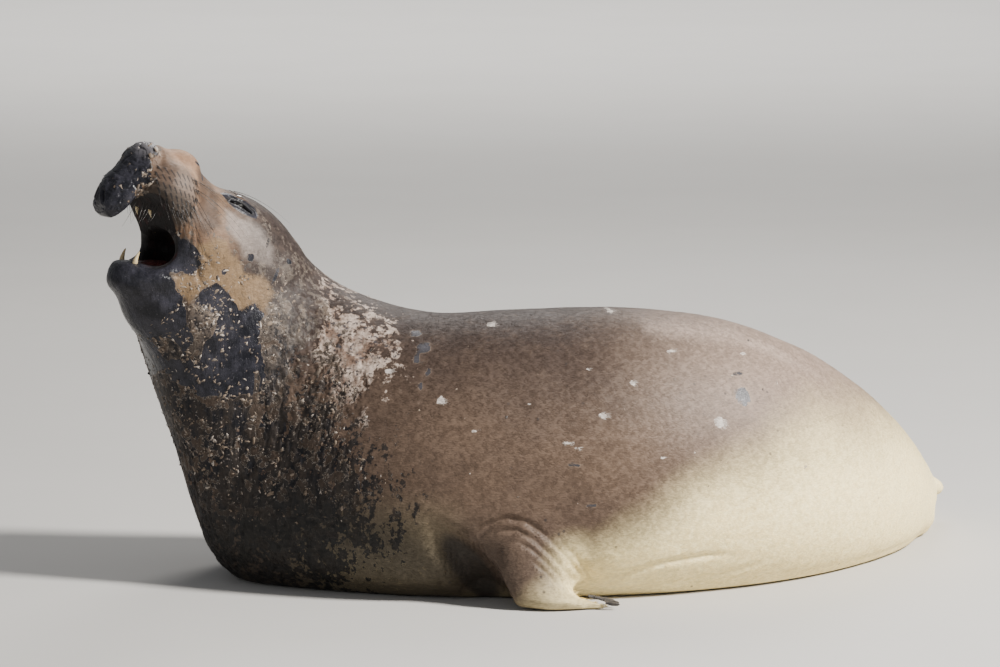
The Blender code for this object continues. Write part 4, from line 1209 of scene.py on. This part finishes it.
# Eyes, mouth and whiskers


def loft(name, rings):
    """A smooth closed skin over a row of rings that have the same number of points."""
    points = [tuple(p) for ring in rings for p in ring]
    count = len(rings[0])
    faces = []
    for i in range(len(rings) - 1):
        for k in range(count):
            j = (k + 1) % count
            faces.append((i * count + k, i * count + j, (i + 1) * count + j, (i + 1) * count + k))
    faces.append(tuple(range(count))[::-1])
    faces.append(tuple(range((len(rings) - 1) * count, len(rings) * count)))
    obj = mesh_object(name, points, faces)
    obj.data.shade_smooth()
    return obj


def eyeball(side, word):
    """A wet dark eye with a faint ring of iris, seen between the lids."""
    rings = []
    steps, count = 24, 40
    for i in range(steps + 1):
        angle = math.pi * (i + 0.02) / (steps + 0.04)
        bulge = 1.0 + 0.02 * math.exp(-((angle / 0.5) ** 2))
        out = math.sin(angle) * EYE_RADIUS
        rings.append(from_head([
            (
                EYE_MIDDLE[0] + out * math.cos(turn),
                side * (EYE_MIDDLE[1] + EYE_RADIUS * bulge * math.cos(angle)),
                EYE_MIDDLE[2] + out * math.sin(turn),
            )
            for turn in (2 * math.pi * k / count for k in range(count))
        ]))
    obj = loft(f"eyeball_{word}", rings)
    obj.data.materials.append(eye_material(side, word))
    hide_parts(f"eye_{word}")
    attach(obj, "root")


def eye_material(side, word):
    """Nearly black, with rings round the pupil's place, under a wet coat."""
    nodes = Nodes(f"eye_{word}")
    pupil = tuple(from_head([(0.0, side * (EYE_MIDDLE[1] + EYE_RADIUS), 0.0)])[0])
    distance = nodes.new("VectorMath")
    distance.operation = "DISTANCE"
    away = nodes.fed(distance, {0: nodes.place, 1: pupil}).outputs["Value"]
    colour = nodes.mix(nodes.step(away, 0.010, 0.014), (0.003, 0.003, 0.003), (0.014, 0.008, 0.005))
    colour = nodes.cover(colour, nodes.step(away, 0.0175, 0.020), (0.030, 0.020, 0.017))
    nodes.surface({"Coat Weight": 1.0, "Coat Roughness": 0.03})
    return nodes.finish(colour, nodes.step(nodes.noise(90.0), 0.3, 0.7, 0.08, 0.16))


# The tongue from root to tip: place (x, z), half width, half thickness
TONGUE = (
    (0.000, -0.214, 0.036, 0.018),
    (0.030, -0.216, 0.042, 0.022),
    (0.060, -0.222, 0.044, 0.023),
    (0.090, -0.232, 0.042, 0.019),
    (0.118, -0.243, 0.036, 0.014),
    (0.138, -0.251, 0.026, 0.010),
    (0.150, -0.256, 0.014, 0.006),
)


def tongue():
    """A broad tongue with a groove down its middle, low in the jaw."""
    rings = []
    count, between = 40, 5
    keys = np.arange(len(TONGUE))
    fine = np.linspace(0, len(TONGUE) - 1, between * (len(TONGUE) - 1) + 1)
    for x, z, wide, thick in zip(*(np.interp(fine, keys, column) for column in zip(*TONGUE))):
        ring = []
        for k in range(count):
            angle = 2 * math.pi * k / count
            y, up = wide * math.cos(angle), thick * math.sin(angle)
            groove = 0.30 * thick * math.exp(-((y / (0.22 * wide)) ** 2)) if up > 0 else 0.0
            ring.append((x, y, z + up - groove))
        rings.append(from_head(ring))
    obj = loft("tongue_flesh", rings)
    dark, light = (0.060, 0.018, 0.016), (0.130, 0.042, 0.038)
    obj.data.materials.append(plain_material("tongue", dark, light, 60.0, 0.30, 0.5, 0.002, 0.4))
    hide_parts("tongue")
    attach(obj, "root")


# Canines: root, way to the tip, radius at the root; then cheek teeth: first, last, height
CANINES = {
    "canine_lower": ((0.150, 0.036, -0.256), (0.016, 0.003, 0.038), 0.0072),
    "canine_upper": ((0.180, 0.036, -0.116), (-0.002, 0.002, -0.015), 0.0050),
}
CHEEK_TEETH = {
    "lower": ((0.122, 0.058, -0.246), (0.074, 0.060, -0.226), 0.008),
    "upper": ((0.150, 0.050, -0.108), (0.104, 0.054, -0.138), -0.008),
}
CHEEK_TEETH_EACH = 4
CHEEK_TOOTH_RADIUS = 0.0032
SIDES = ((1, "left"), (-1, "right"))
TOOTH_POINTS = 20


def tooth(name, root, way, radius, side):
    """A curved cone with a swollen root."""
    root, way = np.array(root), np.array(way)
    root[1] *= side
    way[1] *= side
    rings = []
    for t in np.linspace(0.0, 1.0, 12):
        size = radius * (1 - t) ** 0.62 * (1 + 0.12 * math.sin(math.pi * min(t * 2, 1))) + 0.0002
        centre = root + way * t + np.array([-0.010 * t * t, 0.0, 0.0])
        rings.append(from_head([
            centre + size * np.array([math.cos(a), 0.85 * math.sin(a), 0.0])
            for a in 2 * math.pi * np.arange(TOOTH_POINTS) / TOOTH_POINTS
        ]))
    return loft(name, rings)


def tooth_material():
    """Ivory, browner at the root."""
    nodes = Nodes("tooth")
    stain = nodes.noise(70.0, 4.0, 0.6, nodes.stretched((1.0, 1.0, 0.4)))
    colour = nodes.mix(nodes.step(stain, 0.35, 0.72), (0.60, 0.48, 0.27), (0.36, 0.24, 0.11))
    nodes.surface({"Coat Weight": 0.5, "Coat Roughness": 0.12})
    return nodes.finish(colour, nodes.step(stain, 0.2, 0.8, 0.24, 0.42), nodes.bump(stain, 0.25, 0.001))


def teeth():
    """Four canines, and small pegs behind them along the gums."""
    material = tooth_material()
    for name, (root, way, radius) in CANINES.items():
        for side, word in SIDES:
            obj = tooth(f"{name}_{word}_enamel", root, way, radius, side)
            obj.data.materials.append(material)
            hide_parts(f"{name}_{word}")
            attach(obj, "root")
    for jaw, (first, last, up) in CHEEK_TEETH.items():
        for side, word in SIDES:
            for i, t in enumerate(np.arange(CHEEK_TEETH_EACH) / (CHEEK_TEETH_EACH - 1)):
                root = np.array(first) * (1 - t) + np.array(last) * t
                name = f"cheek_tooth_{jaw}_{word}_{i + 1}"
                obj = tooth(name, root, (0.0, 0.0, up), CHEEK_TOOTH_RADIUS, side)
                obj.data.materials.append(material)
                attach(obj, "root")


def tube(path, radius, tip):
    """Rings of a thin tapered hair along a path."""
    run = np.gradient(path, axis=0)
    run /= np.linalg.norm(run, axis=1)[:, None]
    side = np.cross(run, (0.0, 0.0, 1.0))
    side /= np.maximum(np.linalg.norm(side, axis=1), 1e-6)[:, None]
    up = np.cross(side, run)
    size = radius + (tip - radius) * np.linspace(0, 1, len(path)) ** 0.8
    angle = 2 * math.pi * np.arange(WHISKER_SIDES) / WHISKER_SIDES
    ring = side[:, None] * np.cos(angle)[None, :, None] + up[:, None] * np.sin(angle)[None, :, None]
    return path[:, None] + ring * size[:, None, None]


def join_tubes(name, tubes):
    """One mesh of many hairs with the same number of rings and sides."""
    points, faces = np.concatenate([rings.reshape(-1, 3) for rings in tubes]), []
    for hair in range(len(tubes)):
        for i in range(WHISKER_STEPS - 1):
            row = (hair * WHISKER_STEPS + i) * WHISKER_SIDES
            after = row + WHISKER_SIDES
            for k in range(WHISKER_SIDES):
                j = (k + 1) % WHISKER_SIDES
                faces.append((row + k, row + j, after + j, after + k))
    return fast_mesh(name, points, np.array(faces))


# Roots of the long hairs above each eye: x, z
BROW_ROOTS = ((0.030, 0.020), (0.018, 0.023), (0.006, 0.021), (0.040, 0.014))
WHISKER_STEPS = 11
WHISKER_SIDES = 5
WHISKER_RADIUS = 0.0008
WHISKER_TIP = 0.00018
LIP_HAIRS = 7
STUBS_EACH = 4


def whiskers():
    """Stiff dark hairs swept back on the pads, long at the rear; a few above the eyes and on the lip."""
    rng = np.random.default_rng(11)
    tubes = []
    for side in (1.0, -1.0):
        for root in follicles(side):
            back = np.clip((0.235 - root[0]) / 0.11, 0, 1)
            low = np.clip((-root[2] - 0.01) / 0.09, 0, 1)
            length = 0.012 + 0.030 * back + 0.13 * back**3 * rng.uniform(0.0, 1.0) ** 1.5
            way = np.array([-0.60 - 0.3 * back, side * (0.62 - 0.30 * back), -0.42 - 0.30 * low])
            if low < 0.35 and back > 0.6:
                length += 0.10 * rng.uniform(0.3, 1.0)
                way[2] += 0.50
            way += rng.normal(0, 0.07, 3)
            tubes.append(hair_path(root - np.array([0, side * 0.006, 0]), way, length, 0.35, rng))
        for x, z in BROW_ROOTS:
            root = np.array([x, side * 0.080, z])
            way = np.array([-0.90, side * 0.28, 0.16]) + rng.normal(0, 0.07, 3)
            tubes.append(hair_path(root, way, rng.uniform(0.08, 0.15), 0.40, rng))
        for i in range(LIP_HAIRS):
            root = np.array([0.236 - 0.008 * i, side * (0.060 + 0.004 * i), -0.120 + 0.004 * i])
            way = np.array([0.05, side * 0.30, -0.95]) + rng.normal(0, 0.06, 3)
            tubes.append(hair_path(root, way, rng.uniform(0.04, 0.10), -0.15, rng))
    obj = join_tubes("whiskers", tubes)
    dark, light = (0.010, 0.009, 0.009), (0.050, 0.040, 0.034)
    obj.data.materials.append(plain_material("whisker", dark, light, 90.0, 0.35))
    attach(obj, "root")


def hair_path(root, way, length, droop, rng):
    """A whisker's tube in the world, from its root and first direction in the head's frame."""
    way = way / np.linalg.norm(way)
    t = np.linspace(0, 1, WHISKER_STEPS)[:, None]
    path = from_head(root + way * length * t)
    path[:, 2] -= (droop * length * t**2)[:, 0]
    path += rng.normal(0, 0.006, 3) * length * 4 * t**2
    return tube(path, WHISKER_RADIUS, WHISKER_TIP)


def follicle_hairs():
    """The short dark stubs in rows on the pads, lying back and down."""
    rng = np.random.default_rng(12)
    tubes = []
    for side in (1.0, -1.0):
        for root in follicles(side):
            for _ in range(STUBS_EACH):
                at = root + rng.normal(0, 0.0012, 3) - np.array([0, side * 0.003, 0])
                way = np.array([-0.66, side * 0.16, -0.66]) + rng.normal(0, 0.06, 3)
                tubes.append(hair_path(at, way, rng.uniform(0.012, 0.020), 0.1, rng))
    obj = join_tubes("pad_bristles", tubes)
    dark, light = (0.008, 0.008, 0.008), (0.030, 0.026, 0.024)
    obj.data.materials.append(plain_material("bristle", dark, light, 90.0, 0.5))
    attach(obj, "root")


# Peeling flakes


FLAKE_RIM = 8
FLAKE_THICKNESS = 0.00035


def flake_groups(points, rows):
    """The groups of scraps: how likely one is at each point, how many, and their size."""
    head, place = to_head(points), along_body(points)
    bare, peel, scar = (marking(rows, word) for word in ("bare", "peel", "scar"))
    edge = np.exp(-(((bare - 0.5) / 0.22) ** 2)) * (bare > 0.10) * (head[:, 0] > -0.3)
    trunk = (np.abs(place[:, 0] - 0.10) < 0.50) & (place[:, 2] > 0.25) & (place[:, 2] < 0.62)
    outer = (points[:, 2] > 0.08) & (marking(rows, "mouth") < 0.1)
    eyes = (inside_by(head[:, [0, 2]], EYE_PATCH) > -0.004) & (np.abs(head[:, 2]) < 0.05)
    clumps = smooth_step(0.45, 0.60, rough_grain(points, 0.05, 71))
    low = (head[:, 2] < -0.10) * (head[:, 2] > -0.33)
    cheek = low * (head[:, 0] < 0.03) * (head[:, 0] > -0.20) * (np.abs(head[:, 1]) > 0.05)
    back_of_chin = smooth_step(0.07, 0.02, head[:, 0]) * smooth_step(-0.10, -0.17, head[:, 2])
    nose = edge * (head[:, 0] > 0.12) * (head[:, 2] > -0.14)
    high = smooth_step(0.12, 0.45, place[:, 2])
    return (
        (smooth_step(0.30, 0.75, peel) * outer * high * back_of_chin * (0.15 + clumps), 2100, 0.0042),
        (smooth_step(0.3, 0.7, scar) * outer * (0.2 + clumps), 260, 0.0034),
        (edge * outer * ~eyes * back_of_chin, 420, 0.0046),
        (nose * outer, 170, 0.0058),
        (cheek * outer * (0.1 + clumps), 240, 0.0038),
        (trunk * outer * (np.abs(place[:, 1]) > 0.15) * 1.0, 80, 0.0032),
    )


def flakes(skin, rows):
    """Thin curled scraps of old skin: many on the neck and chest, round the nose, and a few on the trunk."""
    rng = np.random.default_rng(21)
    points, out = coordinates(skin.data), normals(skin.data)
    groups = flake_groups(points, rows)
    chosen = [rng.choice(len(points), count, p=weight / weight.sum()) for weight, count, _ in groups]
    sizes = np.concatenate([np.full(count, size) for _, count, size in groups])
    sizes = sizes * np.exp(np.clip(rng.normal(0.0, 0.38, len(sizes)), -1.0, 0.55))
    roots = np.concatenate(chosen)
    vertices, faces, tone = flake_shapes(points[roots], out[roots], sizes, rng)
    obj = fast_mesh("peeling_flakes", vertices, faces)
    store(obj.data, "flake", np.stack([tone, tone, tone], axis=1))
    obj.data.materials.append(flake_material())
    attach(obj, "root")


def flake_shapes(place, out, size, rng):
    """Scraps with torn rims, each held along one side and curled up at the other; thin but closed."""
    count = len(place)
    lead = np.cross(out, rng.normal(0, 1, (count, 3)) + (0.6, 0.0, -0.8))
    lead /= np.linalg.norm(lead, axis=1)[:, None]
    side = np.cross(out, lead)
    length, width = size * rng.uniform(0.9, 1.9, count), size * rng.uniform(0.5, 0.9, count)
    curl = size * rng.uniform(0.08, 0.50, count)
    angle = np.arange(FLAKE_RIM)[None] + rng.uniform(-0.3, 0.3, (count, FLAKE_RIM))
    angle = 2 * math.pi * angle / FLAKE_RIM
    reach = rng.uniform(0.45, 1.15, (count, FLAKE_RIM))
    x, y = np.cos(angle) * reach, np.sin(angle) * reach
    rise = curl[:, None] * np.clip(x + 0.2, 0, 2) ** 2 - 0.0005
    rim = place[:, None] + lead[:, None] * (x * length[:, None])[..., None]
    rim = rim + side[:, None] * (y * width[:, None])[..., None] + out[:, None] * rise[..., None]
    centre = (place + out * (0.04 * curl + 0.0003)[:, None])[:, None]
    top = np.concatenate([centre, rim], axis=1)
    bottom = top - out[:, None] * FLAKE_THICKNESS
    vertices = np.concatenate([top, bottom], axis=1).reshape(-1, 3)
    vertices[:, 2] = np.maximum(vertices[:, 2], LOWEST)
    below, shape = FLAKE_RIM + 1, []
    for k in range(FLAKE_RIM):
        a, b = 1 + k, 1 + (k + 1) % FLAKE_RIM
        shape += [(0, a, b), (below, below + b, below + a), (a, below + a, below + b), (a, below + b, b)]
    faces = (np.arange(count)[:, None, None] * 2 * below + np.array(shape)[None]).reshape(-1, 3)
    return vertices, faces, np.repeat(rng.random(count), 2 * below)


def flake_material():
    """Dry old skin, from dark brown through tan to pale grey."""
    nodes = Nodes("flake")
    tone, _, _ = nodes.kept("flake")
    mottle = nodes.noise(60.0, 3.0)
    colour = nodes.mix(nodes.step(tone, 0.25, 0.50), (0.040, 0.032, 0.028), (0.150, 0.108, 0.075))
    colour = nodes.cover(colour, nodes.step(tone, 0.74, 0.97), (0.36, 0.31, 0.27))
    colour = nodes.cover(colour, nodes.step(mottle, 0.40, 0.65, 0.0, 0.4), (0.19, 0.15, 0.115))
    normal = nodes.bump(nodes.noise(300.0), 0.4, 0.001)
    return nodes.finish(colour, nodes.step(mottle, 0.2, 0.8, 0.65, 0.85), normal)


# The studio


def build_camera():
    """The photograph's view."""
    data = bpy.data.cameras.new("photo_camera")
    data.sensor_width = SENSOR
    data.lens = SENSOR * CAMERA_DISTANCE / VIEW_WIDTH
    data.clip_end = 200.0
    camera = bpy.data.objects.new("photo_camera", data)
    bpy.context.scene.collection.objects.link(camera)
    target = Vector((SHIFT.x, SHIFT.y, CAMERA_HEIGHT))
    back = Vector((0.0, -math.cos(CAMERA_RISE), math.sin(CAMERA_RISE)))
    camera.location = target + back * CAMERA_DISTANCE
    camera.rotation_euler = (-back).to_track_quat("-Z", "Y").to_euler()
    bpy.context.scene.camera = camera


def area_light(name, place, target, size, power, colour):
    """A soft round light."""
    data = bpy.data.lights.new(name, "AREA")
    data.shape = "DISK"
    data.size = size
    data.energy = power
    data.color = colour
    lamp = bpy.data.objects.new(name, data)
    bpy.context.scene.collection.objects.link(lamp)
    lamp.location = place
    lamp.rotation_euler = (Vector(target) - Vector(place)).to_track_quat("-Z", "Y").to_euler()
    lamp.visible_camera = False


# Lamps: place, aimed at, size, power, colour
LAMPS = {
    "key": ((6.2, -3.2, 6.0), (0.1, 0.0, 0.4), 1.6, 2550.0, (1.0, 0.975, 0.93)),
    "fill": ((-4.5, -6.5, 2.6), (-0.2, 0.0, 0.5), 3.5, 60.0, (0.93, 0.96, 1.0)),
    "back": ((0.5, 5.5, 5.0), (0.2, 0.0, 0.5), 3.0, 230.0, (1.0, 0.98, 0.95)),
    "far_floor": ((0.0, 16.0, 9.0), (0.0, 22.0, 0.0), 12.0, 2600.0, (1.0, 0.99, 0.97)),
}
SKY = (0.82, 0.84, 0.87, 1.0)
SKY_STRENGTH = 0.33


def build_lights():
    """Soft studio light: one large lamp high on the right, weaker ones and a pale sky."""
    for name, lamp in LAMPS.items():
        area_light(name, *lamp)
    world = bpy.data.worlds.new("studio")
    bpy.context.scene.world = world
    world.use_nodes = True
    background = world.node_tree.nodes["Background"]
    background.inputs["Color"].default_value = SKY
    background.inputs["Strength"].default_value = SKY_STRENGTH


FLOOR_HALF = 60.0


def build_floor():
    """A plain pale floor."""
    side = FLOOR_HALF
    corners = [(-side, -side, 0), (side, -side, 0), (side, side, 0), (-side, side, 0)]
    floor = mesh_object("floor", corners, [(0, 1, 2, 3)])
    nodes = Nodes("floor")
    colour = nodes.mix(nodes.noise(1.5, 3.0), (0.46, 0.445, 0.425), (0.50, 0.485, 0.465))
    floor.data.materials.append(nodes.finish(colour, 0.85))


def build_nails():
    """Dark horn on the nails that the solids give."""
    horn = plain_material("horn", (0.016, 0.014, 0.013), (0.060, 0.050, 0.042), 120.0, 0.32, 0.4, 0.001)
    for name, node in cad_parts.items():
        if name.startswith("nail"):
            node.data.materials.clear()
            node.data.materials.append(horn)


def build_seal():
    """The skin and all that it carries."""
    skin = skin_form()
    rows = markings(coordinates(skin.data), normals(skin.data))
    mark(skin.data, rows)
    skin.data.materials.clear()
    skin.data.materials.append(hide_material())
    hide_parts(*FLESH)
    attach(skin, "root")
    eyeball(1.0, "left")
    eyeball(-1.0, "right")
    tongue()
    teeth()
    whiskers()
    follicle_hairs()
    flakes(skin, rows)
    for piece in coat_pieces(skin, rows):
        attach(piece, "root")
    build_nails()


build_camera()
build_lights()
build_floor()
build_seal()
